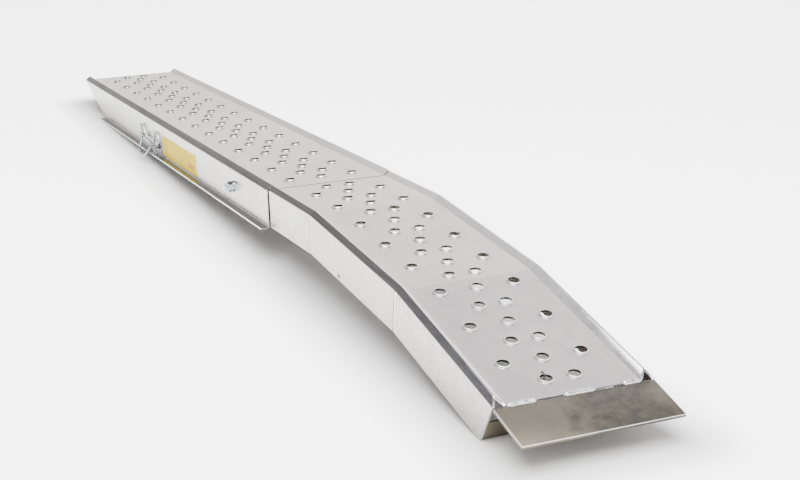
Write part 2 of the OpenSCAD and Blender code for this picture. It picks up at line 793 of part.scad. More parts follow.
ground_deck();
label();
pivot_bolt(-1);  // pivot_bolt_left
pivot_bolt(1);  // pivot_bolt_right
inner_washer(-1);  // inner_washer_left
inner_washer(1);  // inner_washer_right
arm_spacer(-1);  // arm_spacer_left
arm_spacer(1);  // arm_spacer_right
outer_washer(-1);  // outer_washer_left
outer_washer(1);  // outer_washer_right
lock_nut(-1);  // lock_nut_left
lock_nut(1);  // lock_nut_right
hook_anchor();
pin_anchor();
pin_bush();
hook_chain();
hook_ring();
snap_hook();
gate_rivet();
snap_gate();
lock_pin();
pin_tail();
pin_chain();
tailgate_deck();
hinge_arm(-1);  // hinge_arm_left
hinge_arm(1);  // hinge_arm_right
arm_welds(-1);  // arm_welds_left
arm_welds(1);  // arm_welds_right
seam_welds(-1);  // seam_welds_left
seam_welds(1);  // seam_welds_right
lip_plate();
lip_welds();
end_plate();
end_plate_welds();
tether_hook();
tether_ring();
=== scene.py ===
"""Folding arched loading ramp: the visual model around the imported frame.

Shapes are built in millimetres in the ramp's own ground frame: the origin is where the two
decks meet, +Y runs to the end on the ground, and +Z leaves the deck. to_row() then stands
them in the row frame, in metres.
"""

import math

import bmesh
import bpy
import numpy as np
from mathutils import Matrix, Vector
from mathutils.geometry import delaunay_2d_cdt


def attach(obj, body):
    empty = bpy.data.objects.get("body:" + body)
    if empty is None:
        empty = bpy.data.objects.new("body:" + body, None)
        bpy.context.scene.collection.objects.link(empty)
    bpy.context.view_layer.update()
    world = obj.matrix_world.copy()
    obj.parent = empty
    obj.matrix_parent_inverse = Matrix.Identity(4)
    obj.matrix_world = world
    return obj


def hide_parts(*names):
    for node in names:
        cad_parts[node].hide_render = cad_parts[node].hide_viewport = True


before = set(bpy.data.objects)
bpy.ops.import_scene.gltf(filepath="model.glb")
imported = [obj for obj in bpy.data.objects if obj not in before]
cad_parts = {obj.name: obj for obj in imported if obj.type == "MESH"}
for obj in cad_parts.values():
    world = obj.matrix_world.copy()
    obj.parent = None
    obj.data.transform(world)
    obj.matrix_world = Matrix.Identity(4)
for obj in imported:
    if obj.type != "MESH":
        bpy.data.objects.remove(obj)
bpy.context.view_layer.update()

# ---- Sizes, as in part.scad ----

SHEET = 3.2
GROUND_LEN, GROUND_W, GROUND_WALL_H, GROUND_CUT, FLANGE_W = 1826.0, 305.0, 88.0, 252.0, 17.0
GROUND_CURB = (14.5, 14.0, 11.0)  # widths of a curb's inner and outer slope, and its height
TAIL_W, TAIL_WALL_H = 297.0, 83.0
TAIL_CURB = (13.0, 11.0, 10.0)
RUNS = (267.0, 438.0, 398.0)
BENDS = (5.9, 7.5)
BEND_AT = (RUNS[0], RUNS[0] + RUNS[1])
TOTAL_RUN = sum(RUNS)
WALL_CUT_BACK, CURB_CUT_BACK = 31.0, 23.7
DECK_GAP, JOINT_VEE = 0.5, 5.0
ROW_PITCH, GROUND_ROWS, TAIL_ROWS = 63.5, 28, 17
GROUND_FIRST_ROW, TAIL_FIRST_ROW = 42.0, 37.0
OUTER_COLUMN, INNER_COLUMN = 74.0, 26.5
HOLE_R, RIM_H = 11.0, 3.0
PIVOT_Y, PIVOT_DEPTH, BOLT_R, ARM_T = 254.0, 41.0, 6.35, 6.35
FOLD_END = 174.0
LIP_LEN, LIP_W, LIP_T, LIP_ANGLE, LIP_GAP, LIP_DROP = 104.0, 296.0, 6.0, 2.9, 1.0, 1.6
LIP_WELDS = ((-124.0, -70.0), (-21.0, 38.0), (88.0, 124.0))
PIN_Y, PIN_DEPTH, PIN_R = 926.0, 62.5, 4.0
HOOK_ANCHOR_Y, ANCHOR_DEPTH = 1088.0, 28.0
PIN_ANCHOR_Y = PIN_Y + 14
HOOK_LEAN, HOOK_ROD_R = 24.0, 3.5
HOOK_PATH = ((20, -5), (-7, 4), (19, -41), (50, -50), (93, -49), (118, -12), (96, -8))
HOOK_BENDS = (6, 9, 16, 16, 6)
LABEL_Y, LABEL_LEN, LABEL_TOP, LABEL_H = 560.0, 328.0, -24.0, 56.0
WALL_X = GROUND_W / 2
WALL_EDGE = TAIL_W / 2  # outside of the tailgate section's walls

# ---- Details that part.scad leaves plain ----

SHARP_ANGLE = 38.0  # an edge that turns more than this is shaded as a sharp one
EASE_SEGMENTS = 3  # facets on the rounded edge of a slab
CURB_EASE = 4.5  # the deck's flat part stops this far short of the curb, which is rounded there
JOINT_GAP, JOINT_GAP_TAIL = 2.6, 2.1  # the sheets stop this far back from part.scad's ends
SEAM_GROOVE = 2.3  # depth of the groove on the outside of the walls at each bend
BORE_SIDES = 32
BORE_REACH = 2.0  # a bore's cutter reaches this far past the wall on both sides


# ---- Placing ----


def turned(y, z, degrees):
    a = math.radians(degrees)
    return y * math.cos(a) - z * math.sin(a), y * math.sin(a) + z * math.cos(a)


def run_at(d):
    """Start distance, [y, z] origin and slope of the tailgate run that holds distance d."""
    if d < RUNS[0]:
        return 0.0, (0.0, 0.0), 0.0
    if d < RUNS[0] + RUNS[1]:
        return RUNS[0], (-RUNS[0], 0.0), BENDS[0]
    y, z = turned(-RUNS[1], 0.0, BENDS[0])
    return RUNS[0] + RUNS[1], (y - RUNS[0], z), BENDS[0] + BENDS[1]


def tail_point(d, shift=0.0, height=0.0):
    start, origin, slope = run_at(d)
    y, z = turned(start - d + shift, height, slope)
    return origin[0] + y, origin[1] + z


def lip_point(along, height):
    y, z = turned(-along, height, sum(BENDS) + LIP_ANGLE)
    end = tail_point(TOTAL_RUN)
    return end[0] + y, end[1] + z


GROUND_FOOT = (GROUND_LEN - GROUND_CUT, -GROUND_WALL_H)
TAIL_FOOT = tail_point(TOTAL_RUN, WALL_CUT_BACK, -TAIL_WALL_H)
PITCH = math.degrees(math.atan2(GROUND_FOOT[1] - TAIL_FOOT[1], GROUND_FOOT[0] - TAIL_FOOT[0]))
LIFT = -turned(*GROUND_FOOT, -PITCH)[1]
BACK = min(turned(*lip_point(LIP_LEN, -LIP_DROP - t), -PITCH)[0] for t in (0, LIP_T))
FRONT = turned(GROUND_LEN, GROUND_CURB[2], -PITCH)[0]
STAND = (
    Matrix.Scale(0.001, 4)
    @ Matrix.Translation((0, -(BACK + FRONT) / 2, LIFT))
    @ Matrix.Rotation(math.radians(-PITCH), 4, "X")
)


def to_row(points):
    p = np.asarray(points, float)
    m = np.array(STAND)
    return p @ m[:3, :3].T + m[:3, 3]


def apply(matrix, points):
    m = np.array(matrix)
    return np.asarray(points, float) @ m[:3, :3].T + m[:3, 3]


def on_tailgate(d):
    y, z = tail_point(d)
    return Matrix.Translation((0, y, z)) @ Matrix.Rotation(math.radians(run_at(d)[2]), 4, "X")


# ---- Mesh helpers ----


def link(name, data):
    obj = bpy.data.objects.new(name, data)
    bpy.context.scene.collection.objects.link(obj)
    return obj


def piece(name, points, faces, body, slot, material, replaces=(), sharp=SHARP_ANGLE,
          cut_faces=(), slope=None):
    """A closed mesh from ground-frame points, with its body and hidden CAD nodes. The slot argument is
    not used.
    """
    mesh = bpy.data.meshes.new(name)
    mesh.from_pydata([tuple(p) for p in to_row(points)], [], [tuple(f) for f in faces])
    cut = mesh.attributes.new("cut", "FLOAT", "FACE")
    for f in cut_faces:
        cut.data[f].value = 1.0
    if slope:
        tone = mesh.attributes.new("slope", "FLOAT", "POINT")
        for i, value in slope.items():
            tone.data[i].value = value
    obj = link(name, mesh)
    finish_mesh(mesh, sharp)
    mesh.materials.append(material)
    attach(obj, body)
    if replaces:
        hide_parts(*replaces)
    return obj


def shade_mesh(mesh, sharp=SHARP_ANGLE):
    mesh.polygons.foreach_set("use_smooth", [True] * len(mesh.polygons))
    mesh.set_sharp_from_angle(angle=math.radians(sharp))


def finish_mesh(mesh, sharp=SHARP_ANGLE):
    """Faces turned outwards, and shaded."""
    bm = bmesh.new()
    bm.from_mesh(mesh)
    bmesh.ops.recalc_face_normals(bm, faces=bm.faces)
    bm.to_mesh(mesh)
    bm.free()
    shade_mesh(mesh, sharp)


class Build:
    """Collects points and faces of one mesh."""

    def __init__(self):
        self.points, self.faces, self.cut, self.slope = [], [], [], {}

    def add(self, points):
        start = len(self.points)
        self.points.extend(tuple(float(c) for c in p) for p in points)
        return list(range(start, len(self.points)))

    def face(self, *indices, cut=False):
        if cut:
            self.cut.append(len(self.faces))
        self.faces.append(indices)

    def strip(self, a, b, closed=True, cut=False):
        n = len(a)
        for i in range(n if closed else n - 1):
            j = (i + 1) % n
            self.face(a[i], a[j], b[j], b[i], cut=cut)

    def tube(self, rings):
        """Rings of equal length, joined in order and closed at both ends."""
        index = [self.add(r) for r in rings]
        for a, b in zip(index, index[1:]):
            self.strip(a, b)
        self.face(*index[0])
        self.face(*reversed(index[-1]))

    def loop(self, rings):
        """Rings of equal length, joined in order and back to the first."""
        index = [self.add(r) for r in rings]
        for a, b in zip(index, index[1:] + index[:1]):
            self.strip(a, b)

    def piece(self, name, *args, **kw):
        return piece(name, self.points, self.faces, *args, cut_faces=self.cut, slope=self.slope, **kw)


def circle(x, radius, count):
    """Ring of points round the X axis at x."""
    turns = [2 * math.pi * k / count for k in range(count)]
    return [(x, radius * math.cos(t), radius * math.sin(t)) for t in turns]


def rounded(path, radii, step=14.0):
    """Points of a flat path with its inner corners rounded, and the right-hand normal at each."""
    path = [Vector(p) for p in path]
    points, normals = [], []

    def right(v):
        return Vector((v.y, -v.x))

    points.append(path[0])
    normals.append(right((path[1] - path[0]).normalized()))
    for i, radius in enumerate(radii, start=1):
        before = (path[i] - path[i - 1]).normalized()
        after = (path[i + 1] - path[i]).normalized()
        turn = math.atan2(before.x * after.y - before.y * after.x, before.dot(after))
        side = 1 if turn > 0 else -1
        start = path[i] - before * radius * math.tan(abs(turn) / 2)
        centre = start - right(before) * radius * side
        count = max(2, math.ceil(abs(math.degrees(turn)) / step))
        for k in range(count + 1):
            a = turn * k / count
            n = right(before)
            n = Vector((n.x * math.cos(a) - n.y * math.sin(a), n.x * math.sin(a) + n.y * math.cos(a)))
            points.append(centre + n * radius * side)
            normals.append(n)
    points.append(path[-1])
    normals.append(right((path[-1] - path[-2]).normalized()))
    return points, normals


# ---- Formed sheets ----

# Radius and height of each ring of a traction hole, from the deck's top to its underside
HOLE_RINGS = (
    (15.6, 0.0), (14.7, 0.05), (14.0, 0.4), (13.5, 1.0), (13.1, 1.7), (12.7, 2.35),
    (12.25, 2.8), (11.75, 3.0), (11.3, 2.9), (11.05, 2.55), (11.0, 2.0), (11.0, 0.4),
    (11.05, -0.6), (11.35, -1.6), (12.0, -2.4), (12.9, -2.95), (14.0, -3.2), (15.2, -3.2),
)
HOLE_SIDES = 40

# Values of the "slope" attribute, which the sheets' material reads. Plain sheet is 0; the others paint
# shade, reflections and highlights into the colour.
PAINTED_SHADE_AND_REFLECTION = 1.0  # painted dark reflection on the curbs' outer slopes, painted shade in the grooves at the bends
PAINTED_SHADE_INSIDE = 2.0  # painted shade: dull brown on the inside of the sheets and of the holes
PAINTED_HIGHLIGHT = -1.0  # painted highlight on the curbs' inner slopes and the holes' flares
PAINTED_FLANGE_REFLECTION = 0.62  # painted dark reflection on the foot flanges, weaker than on the curbs
PAINTED_FLARE_SHADE = 0.42  # painted shade ring at the foot of the holes' flares
# Painted tones of each hole's rings: shade at the flare's foot, a highlight on the flare, shade inside
RING_TONES = (
    (range(1, 3), PAINTED_FLARE_SHADE), (range(4, 8), PAINTED_HIGHLIGHT), (range(10, len(HOLE_RINGS)), PAINTED_SHADE_INSIDE),
)

# Heights where the grooves and the flange's painted reflection stop, and margins from the section's
# corners
GROOVE_TOP, FLANGE_TOP = -1.5, -40.0
PEAK_MARGIN, DECK_MARGIN, WALL_MARGIN = 0.4, 0.5, 0.3


def row_columns(row):
    return (-INNER_COLUMN, INNER_COLUMN) if row % 2 == 0 else (-OUTER_COLUMN, 0.0, OUTER_COLUMN)


def outside_tone(p, half, groove):
    """Value of the "slope" attribute at a point on the outside of a sheet."""
    wall, peak, deck = half[-3:]
    if wall[0] < p.x < peak[0] - PEAK_MARGIN or (groove and p.y < GROOVE_TOP):
        return PAINTED_SHADE_AND_REFLECTION
    if p.y > 0 and peak[0] + PEAK_MARGIN < p.x < deck[0] - DECK_MARGIN:
        return PAINTED_HIGHLIGHT
    has_flange = len(half) > 4
    if has_flange and p.x < wall[0] - WALL_MARGIN and p.y < FLANGE_TOP:
        return PAINTED_FLANGE_REFLECTION
    return 0.0


def hole_loops(build, x, centre, along, up):
    """The rings of one traction hole, joined, with their tones."""
    loops = []
    for n, (r, h) in enumerate(HOLE_RINGS):
        ring = []
        for k in range(HOLE_SIDES):
            t = 2 * math.pi * k / HOLE_SIDES
            p = centre + along * r * math.sin(t) + up * h
            ring.append((x + r * math.cos(t), p.x, p.y))
        loops.append(build.add(ring))
        for rings, tone in RING_TONES:
            if n in rings:
                build.slope.update((i, tone) for i in loops[-1])
    for a, b in zip(loops, loops[1:]):
        build.strip(a, b)
    return loops


def sheet_build(half, radii, flat_half, stations, holes):
    """A formed sheet lofted through stations.

    half is the outside of the left half of the cross-section, up to the deck; each station
    gives [y, z] for a height; holes are (x, [y, z]) on the deck's top, per span."""
    build = Build()
    outer, normals = rounded(list(half) + [(-flat_half, 0.0)], radii)
    inner = [p + n * SHEET for p, n in zip(outer, normals)]
    rails = {}
    for side in (-1, 1):
        for layer, points in (("out", outer), ("in", inner)):
            rails[side, layer] = []
            for station in stations:
                sunk = getattr(station, "groove", 0.0) if layer == "out" else 0.0
                rail = build.add([
                    (-side * (p.x + (sunk if p.y < GROOVE_TOP else 0.0)), *station(p.y))
                    for p in points
                ])
                rails[side, layer].append(rail)
                for p, i in zip(outer, rail):
                    build.slope[i] = outside_tone(p, half, sunk) if layer == "out" else PAINTED_SHADE_INSIDE
    last = len(outer) - 1
    for side in (-1, 1):
        out, inn = rails[side, "out"], rails[side, "in"]
        for layer in (out, inn):
            for a, b in zip(layer, layer[1:]):
                build.strip(a, b, closed=False)
        for s in range(len(stations) - 1):
            build.face(out[s][0], out[s + 1][0], inn[s + 1][0], inn[s][0], cut=True)
        for s in (0, len(stations) - 1):
            for i in range(last):
                build.face(out[s][i], out[s][i + 1], inn[s][i + 1], inn[s][i], cut=True)
    for s in (0, len(stations) - 1):
        build.face(
            rails[-1, "out"][s][last], rails[1, "out"][s][last],
            rails[1, "in"][s][last], rails[-1, "in"][s][last], cut=s > 0,
        )
    for s, span_holes in enumerate(holes):
        a = Vector(stations[s](0.0))
        b = Vector(stations[s + 1](0.0))
        along = (b - a).normalized()
        up = Vector((-along.y, along.x))
        if up.y < 0:
            up = -up
        rings = []
        for x, middle in span_holes:
            centre = Vector(middle)
            rings.append((x, centre, hole_loops(build, x, centre, along, up)))
        for layer, ring_no in (("out", 0), ("in", -1)):
            corners = [
                rails[-1, layer][s][last], rails[1, layer][s][last],
                rails[1, layer][s + 1][last], rails[-1, layer][s + 1][last],
            ]
            plate(build, corners, along, a, [(x, c, hole[ring_no]) for x, c, hole in rings],
                  HOLE_RINGS[ring_no][0])
    return build


def plate(build, corners, along, origin, circles, radius):
    """Triangles of a flat plate between four corners, leaving out the circles."""
    index = list(corners)
    for _, _, ring in circles:
        index += ring
    flat = []
    for i in index:
        x, y, z = build.points[i]
        flat.append(Vector((x, (Vector((y, z)) - origin).dot(along))))
    edges = [(0, 1), (1, 2), (2, 3), (3, 0)]
    for n in range(len(circles)):
        first = 4 + n * HOLE_SIDES
        edges += [(first + k, first + (k + 1) % HOLE_SIDES) for k in range(HOLE_SIDES)]
    tolerance = 1e-7
    verts, _, faces, source, _, _ = delaunay_2d_cdt(flat, edges, [], 0, tolerance)
    centres = np.array([(x, (c - origin).dot(along)) for x, c, _ in circles]).reshape(-1, 2)
    # A triangle whose middle lies nearer to a centre than a chord of the circle is in the hole
    inside = radius * math.cos(math.pi / HOLE_SIDES) - 0.01
    for f in faces:
        middle = sum((Vector(verts[i]) for i in f), Vector((0, 0))) / len(f)
        if len(centres) and np.hypot(*(centres - np.array(middle)).T).min() < inside:
            continue
        build.face(*[index[source[i][0]] for i in f])


def ground_joint(h):
    return JOINT_GAP, h


def ground_end(h):
    if h >= -SHEET:
        return GROUND_LEN, h
    return GROUND_FOOT[0] + (h + GROUND_WALL_H) / (GROUND_WALL_H - SHEET) * GROUND_CUT, h


def tail_joint(h):
    vee = (JOINT_VEE - JOINT_GAP_TAIL) * max(0.0, -h) / TAIL_WALL_H
    return -DECK_GAP - JOINT_GAP_TAIL - vee, h


def tail_end(h):
    back = WALL_CUT_BACK * -h / TAIL_WALL_H if h < 0 else CURB_CUT_BACK * h / TAIL_CURB[2]
    return tail_point(TOTAL_RUN, back, h)


def bend_station(d, offset, groove=0.0):
    """Plane beside the mitre plane of the bend at d, offset along the deck.

    groove is how far the outside of the walls is sunk there."""
    before, after = run_at(d - 1)[2], run_at(d)[2]
    slope = before if offset < 0 else after

    def station(h):
        y0, z0 = tail_point(d)
        y1, z1 = turned(0, h / math.cos(math.radians((after - before) / 2)), (before + after) / 2)
        y2, z2 = turned(-offset, 0, slope)
        return y0 + y1 + y2, z0 + z1 + z2

    station.groove = groove
    return station


def half_profile(w, curb, wall_h, flange):
    curb_in, curb_out, curb_h = curb
    wall = -w / 2
    foot = [(wall, -wall_h)]
    if flange:
        foot = [(wall - flange, SHEET - wall_h), (wall, SHEET - wall_h)]
    return foot + [(wall, 0), (wall + curb_out, curb_h), (wall + curb_out + curb_in, 0)]


def drill(obj, holes):
    """Bores straight across the walls: holes are (x0, x1, y, z, radius) in the ground frame."""
    build = Build()
    for x0, x1, y, z, r in holes:
        build.tube([
            [(x, y + dy, z + dz) for _, dy, dz in circle(0.0, r, BORE_SIDES)] for x in (x0, x1)
        ])
    mesh = bpy.data.meshes.new("drill")
    mesh.from_pydata([tuple(p) for p in to_row(build.points)], [], build.faces)
    cutter = link("drill", mesh)
    finish_mesh(mesh)
    modifier = obj.modifiers.new("bores", "BOOLEAN")
    modifier.object = cutter
    modifier.solver = "EXACT"
    modifier.operation = "DIFFERENCE"
    bpy.context.view_layer.update()
    graph = bpy.context.evaluated_depsgraph_get()
    result = bpy.data.meshes.new_from_object(obj.evaluated_get(graph))
    obj.modifiers.clear()
    old = obj.data
    obj.data = result
    bpy.data.meshes.remove(old)
    bpy.data.objects.remove(cutter)
    shade_mesh(result)


# ---- Rods, beads, plates and hardware ----

ROD_END = (30, 55, 80)  # degrees round the dome at a rod's end, one ring at each


def arc_path(path, bends, step=7.0):
    return rounded(path, bends, step)[0]


def rod(route, radius, sides):
    """Rings of a rod with domed ends along a flat [x, y] route, in the route's own plane."""
    route = [Vector((p[0], p[1], 0.0)) for p in route]
    up = Vector((0, 0, 1.0))
    stations = []
    for i, p in enumerate(route):
        before = (p - route[i - 1]).normalized() if i else (route[1] - p).normalized()
        after = (route[i + 1] - p).normalized() if i < len(route) - 1 else before
        along = (before + after).normalized()
        stretch = 1 / max(0.5, before.dot(along))
        side = Vector((-along.y, along.x, 0.0)) * stretch
        if i in (0, len(route) - 1):
            p = p + along * radius * (1 if i == 0 else -1)
        stations.append((p, along, side))

    def dome(station, degrees):
        p, along, side = station
        t = math.radians(degrees)
        return ring_points(p + along * radius * math.sin(t), side, up, radius * math.cos(t), sides)

    start = [dome(stations[0], -degrees) for degrees in reversed(ROD_END)]
    middle = [ring_points(p, side, up, radius, sides) for p, _, side in stations]
    return start + middle + [dome(stations[-1], degrees) for degrees in ROD_END]


def ring_points(centre, side, up, radius, sides):
    return [
        centre + side * radius * math.cos(2 * math.pi * k / sides)
        + up * radius * math.sin(2 * math.pi * k / sides)
        for k in range(sides)
    ]


def torus_rings(major, minor, sides=40, wire_sides=14):
    """Rings of a closed ring of wire in the XY plane."""
    rings = []
    for k in range(sides):
        t = 2 * math.pi * k / sides
        out = Vector((math.cos(t), math.sin(t), 0))
        rings.append(ring_points(out * major, out, Vector((0, 0, 1)), minor, wire_sides))
    return rings


BEAD_STEP = 0.55  # length between the rings of a bead
BEAD_ARC = 14  # facets over a bead's crown
BEAD_KNOTS, BEAD_KNOT_GAP = 40, 6.0  # random values along a bead, and the length between them


def bead_rings(length, half_w, height, pitch, seed, depth=0.0, taper=5.0):
    """Rings of a rippled weld bead along +X from 0, lying on z = -depth with its crown at +height.

    pitch is the length of a ripple and taper how far from an end the bead reaches full size."""
    rng = np.random.default_rng(seed)
    knots = rng.uniform(-1, 1, BEAD_KNOTS)
    rings = []
    count = max(8, int(length / BEAD_STEP))
    for s in range(count + 1):
        x = length * s / count
        wander = np.interp(x / BEAD_KNOT_GAP, np.arange(BEAD_KNOTS), knots)
        end = min(1.0, math.sqrt(max(0.0, min(x, length - x)) / taper + 0.02))
        ring = []
        for k in range(BEAD_ARC + 1):
            a = math.pi * k / BEAD_ARC
            # Each ripple peaks past its middle, and curves back towards -X at the crown
            phase = (x + 0.75 * half_w * math.sin(a) + 0.5 * wander) / pitch
            saw = phase - math.floor(phase)
            ripple = (saw ** 0.6) * (1 - saw) ** 0.35 * 1.5
            swell = end * (1 + 0.07 * wander) * (0.93 + 0.08 * ripple)
            ring.append((x, -half_w * math.cos(a) * (0.93 + 0.05 * ripple + 0.04 * wander) * end,
                         height * math.sin(a) ** 0.9 * swell))
        ring.append((x, half_w * 0.6 * end, -depth))
        ring.append((x, -half_w * 0.6 * end, -depth))
        rings.append(ring)
    return rings


def frame_matrix(origin, x_axis, z_axis):
    x, z = Vector(x_axis).normalized(), Vector(z_axis).normalized()
    y = z.cross(x)
    m = Matrix((x, y, z)).transposed().to_4x4()
    return Matrix.Translation(origin) @ m


def add_rings(build, matrix, rings, closed=False):
    rings = [[tuple(p) for p in apply(matrix, [tuple(q) for q in r])] for r in rings]
    if closed:
        build.loop(rings)
    else:
        build.tube(rings)


def add_slab(build, matrix, lo, hi, ease):
    """Box between two corners with rounded edges."""
    bm = bmesh.new()
    bmesh.ops.create_cube(bm, size=1.0)
    size = [b - a for a, b in zip(lo, hi)]
    for v in bm.verts:
        v.co = Vector([a + (c + 0.5) * s for a, c, s in zip(lo, v.co, size)])
    bmesh.ops.bevel(bm, geom=bm.edges[:], offset=ease, segments=EASE_SEGMENTS, profile=0.5,
                    affect="EDGES")
    index = build.add(apply(matrix, [v.co[:] for v in bm.verts]))
    for f in bm.faces:
        build.face(*[index[v.index] for v in f.verts])
    bm.free()


HEX_POINTS = 48  # points round a hexagon and its circles
HEX_CHAMFER = 30  # degrees


def hex_rings(flats_r, x0, x1, chamfer_r, bore_r):
    """Rings of a hexagon across X from x0 to x1, chamfered at both ends, with a bore."""
    count = HEX_POINTS
    turns = [2 * math.pi * k / count for k in range(count)]
    full = [flats_r / math.cos((t + math.pi / 6) % (math.pi / 3) - math.pi / 6) for t in turns]
    face = [min(r, chamfer_r) for r in full]
    bore = [bore_r] * count

    def place(radii, x, slope=0.0):
        return [
            (x + slope * max(0.0, r - chamfer_r), r * math.cos(t), r * math.sin(t))
            for t, r in zip(turns, radii)
        ]

    fall = math.tan(math.radians(HEX_CHAMFER))
    return [place(bore, x0), place(face, x0), place(full, x0, fall),
            place(full, x1, -fall), place(face, x1), place(bore, x1)]


# ---- Materials ----


class Nodes:
    """A small helper around one node tree."""

    def __init__(self, tree):
        self.tree = tree

    def node(self, kind, inputs=None, **settings):
        n = self.tree.nodes.new(kind)
        for key, value in settings.items():
            setattr(n, key, value)
        for key, value in (inputs or {}).items():
            self.put(n.inputs[key], value)
        return n

    def put(self, socket, value):
        if isinstance(value, bpy.types.NodeSocket):
            self.tree.links.new(value, socket)
        else:
            socket.default_value = value

    def math(self, operation, a, b=0.0, clamp=False):
        inputs = {0: a, 1: b}
        return self.node("ShaderNodeMath", inputs, operation=operation, use_clamp=clamp).outputs[0]

    def span(self, value, low, high, to_low=0.0, to_high=1.0, **settings):
        """From to_low to to_high while value goes from low to high."""
        return self.node("ShaderNodeMapRange", {
            "Value": value, "From Min": low, "From Max": high, "To Min": to_low, "To Max": to_high,
        }, **settings).outputs[0]

    def mix(self, factor, a, b):
        n = self.node("ShaderNodeMix", {}, data_type="RGBA")
        self.put(n.inputs[0], factor)
        self.put(n.inputs[6], a)
        self.put(n.inputs[7], b)
        return n.outputs[2]


class Material(Nodes):
    """One material, with the patterns that the finishes share."""

    def __init__(self, name):
        self.material = bpy.data.materials.new(name)
        self.material.use_nodes = True
        super().__init__(self.material.node_tree)
        self.shader = self.tree.nodes["Principled BSDF"]
        self.coords = self.node("ShaderNodeTexCoord").outputs["Object"]

    def noise(self, scale, stretch=(1, 1, 1), detail=3.0, rough=0.55, turn=(0, 0, 0), shift=(0, 0, 0)):
        mapped = self.node("ShaderNodeMapping", {
            "Vector": self.coords, "Scale": stretch, "Rotation": turn, "Location": shift})
        return self.node("ShaderNodeTexNoise", {
            "Vector": mapped.outputs[0], "Scale": scale, "Detail": detail, "Roughness": rough,
        }).outputs["Fac"]

    def scratches(self, scale, turn, length=40.0, mask_scale=5.0, mask=(0.5, 0.62), level=0.69):
        """Short straight streaks, turned about Z, in patches."""
        lines = self.noise(1.0, (scale, scale / length, scale / length), 1.0, 0.4, (0, 0, turn))
        line = self.span(lines, level, level + 0.02)
        where = self.span(self.noise(mask_scale, detail=2.0, shift=(3, 1, 2)), *mask)
        return self.math("MULTIPLY", line, where, clamp=True)

    def bump(self, height, distance, strength=1.0, onto=None):
        inputs = {"Height": height, "Distance": distance, "Strength": strength}
        if onto is not None:
            inputs["Normal"] = onto
        return self.node("ShaderNodeBump", inputs).outputs[0]

    def finish(self, color, roughness, normal=None, metallic=1.0, **fixed):
        self.put(self.shader.inputs["Base Color"], color)
        self.put(self.shader.inputs["Roughness"], roughness)
        self.put(self.shader.inputs["Metallic"], metallic)
        if normal is not None:
            self.put(self.shader.inputs["Normal"], normal)
        for key, value in fixed.items():
            self.put(self.shader.inputs[key.replace("_", " ")], value)
        return self.material


def sheet_material():
    """Rolled aluminium: fine lines along the ramp, smudges, light scratches, bright cut edges, and
    painted shade, reflections and highlights.
    """
    m = Material("rolled_aluminium")
    lines = m.noise(1.0, (1400, 9, 1400), 3.0, 0.6)
    broad = m.noise(1.0, (160, 2.2, 160), 2.0, 0.5)
    cloud = m.noise(4.5, (1, 0.6, 1), 4.0, 0.6)
    smudge = m.noise(19.0, (1, 0.5, 1), 5.0, 0.65, shift=(4, 2, 7))
    marks = m.math("MAXIMUM",
                   m.scratches(900, 0.35), m.scratches(700, -0.8, 30, 4.0, (0.55, 0.66)))
    tone = m.math("ADD", m.math("MULTIPLY", lines, 0.34),
                  m.math("ADD", m.math("MULTIPLY", broad, 0.26), m.math("MULTIPLY", cloud, 0.4)))
    color = m.mix(m.span(tone, 0.32, 0.68), (0.42, 0.412, 0.404, 1), (0.61, 0.595, 0.58, 1))
    color = m.mix(m.math("MULTIPLY", m.span(smudge, 0.56, 0.74), 0.22), color, (0.30, 0.295, 0.30, 1))
    color = m.mix(m.math("MULTIPLY", marks, 0.4), color, (0.75, 0.75, 0.75, 1))
    place = m.node("ShaderNodeSeparateXYZ", {"Vector": m.coords})
    along = place.outputs["Y"]
    wall = m.span(m.math("ABSOLUTE", place.outputs["X"]), 0.1462, 0.1478)
    specks = m.noise(150.0, (1, 0.5, 1), 4.0, 0.7, shift=(7, 1, 5))
    wall_tone = m.mix(m.span(specks, 0.36, 0.64), (0.25, 0.24, 0.225, 1), (0.44, 0.425, 0.405, 1))
    color = m.mix(m.math("MULTIPLY", wall, 0.7), color, wall_tone)
    slope = m.node("ShaderNodeAttribute", attribute_name="slope").outputs["Fac"]
    # Painted dark reflection on the curbs' outer slopes and the flanges, and painted shade in the
    # grooves at the bends; paler towards the tailgate's end
    dark_reflection_and_shade = m.math("MULTIPLY", m.span(slope, 0.0, PAINTED_SHADE_AND_REFLECTION), m.span(broad, 0.3, 0.7, 0.84, 1.0))
    shade = m.mix(m.span(along, -1.3, -0.5), (0.14, 0.14, 0.152, 1), (0.055, 0.053, 0.051, 1))
    color = m.mix(dark_reflection_and_shade, color, shade)
    # Painted shade: dull brown on the inside of the sheets and of the holes
    color = m.mix(m.span(slope, PAINTED_SHADE_AND_REFLECTION, PAINTED_SHADE_INSIDE), color, (0.15, 0.132, 0.11, 1))
    # Painted highlight on the curbs' inner slopes and the holes' flares, stronger towards the tailgate's
    # end
    bright = m.math("MULTIPLY", m.span(slope, 0.0, PAINTED_HIGHLIGHT), m.span(along, -0.2, 0.1, 0.7, 0.45))
    color = m.mix(bright, color, (0.95, 0.94, 0.93, 1))
    cut = m.node("ShaderNodeAttribute", attribute_name="cut").outputs["Fac"]
    color = m.mix(m.math("MULTIPLY", cut, 0.8), color, (0.93, 0.93, 0.93, 1))
    rough = m.math("ADD", m.span(lines, 0.3, 0.7, 0.20, 0.29), m.span(smudge, 0.4, 0.75, 0.0, 0.12))
    rough = m.math("SUBTRACT", rough, m.math("MULTIPLY", cut, 0.05))
    height = m.math("ADD", lines, m.math("MULTIPLY", marks, -0.8))
    wave = m.noise(3.2, (1, 0.5, 1), 2.0, 0.5, shift=(1, 5, 3))
    normal = m.bump(wave, 0.004, 0.25)
    normal = m.bump(height, 0.00004, 0.5, normal)
    return m.finish(color, rough, normal)


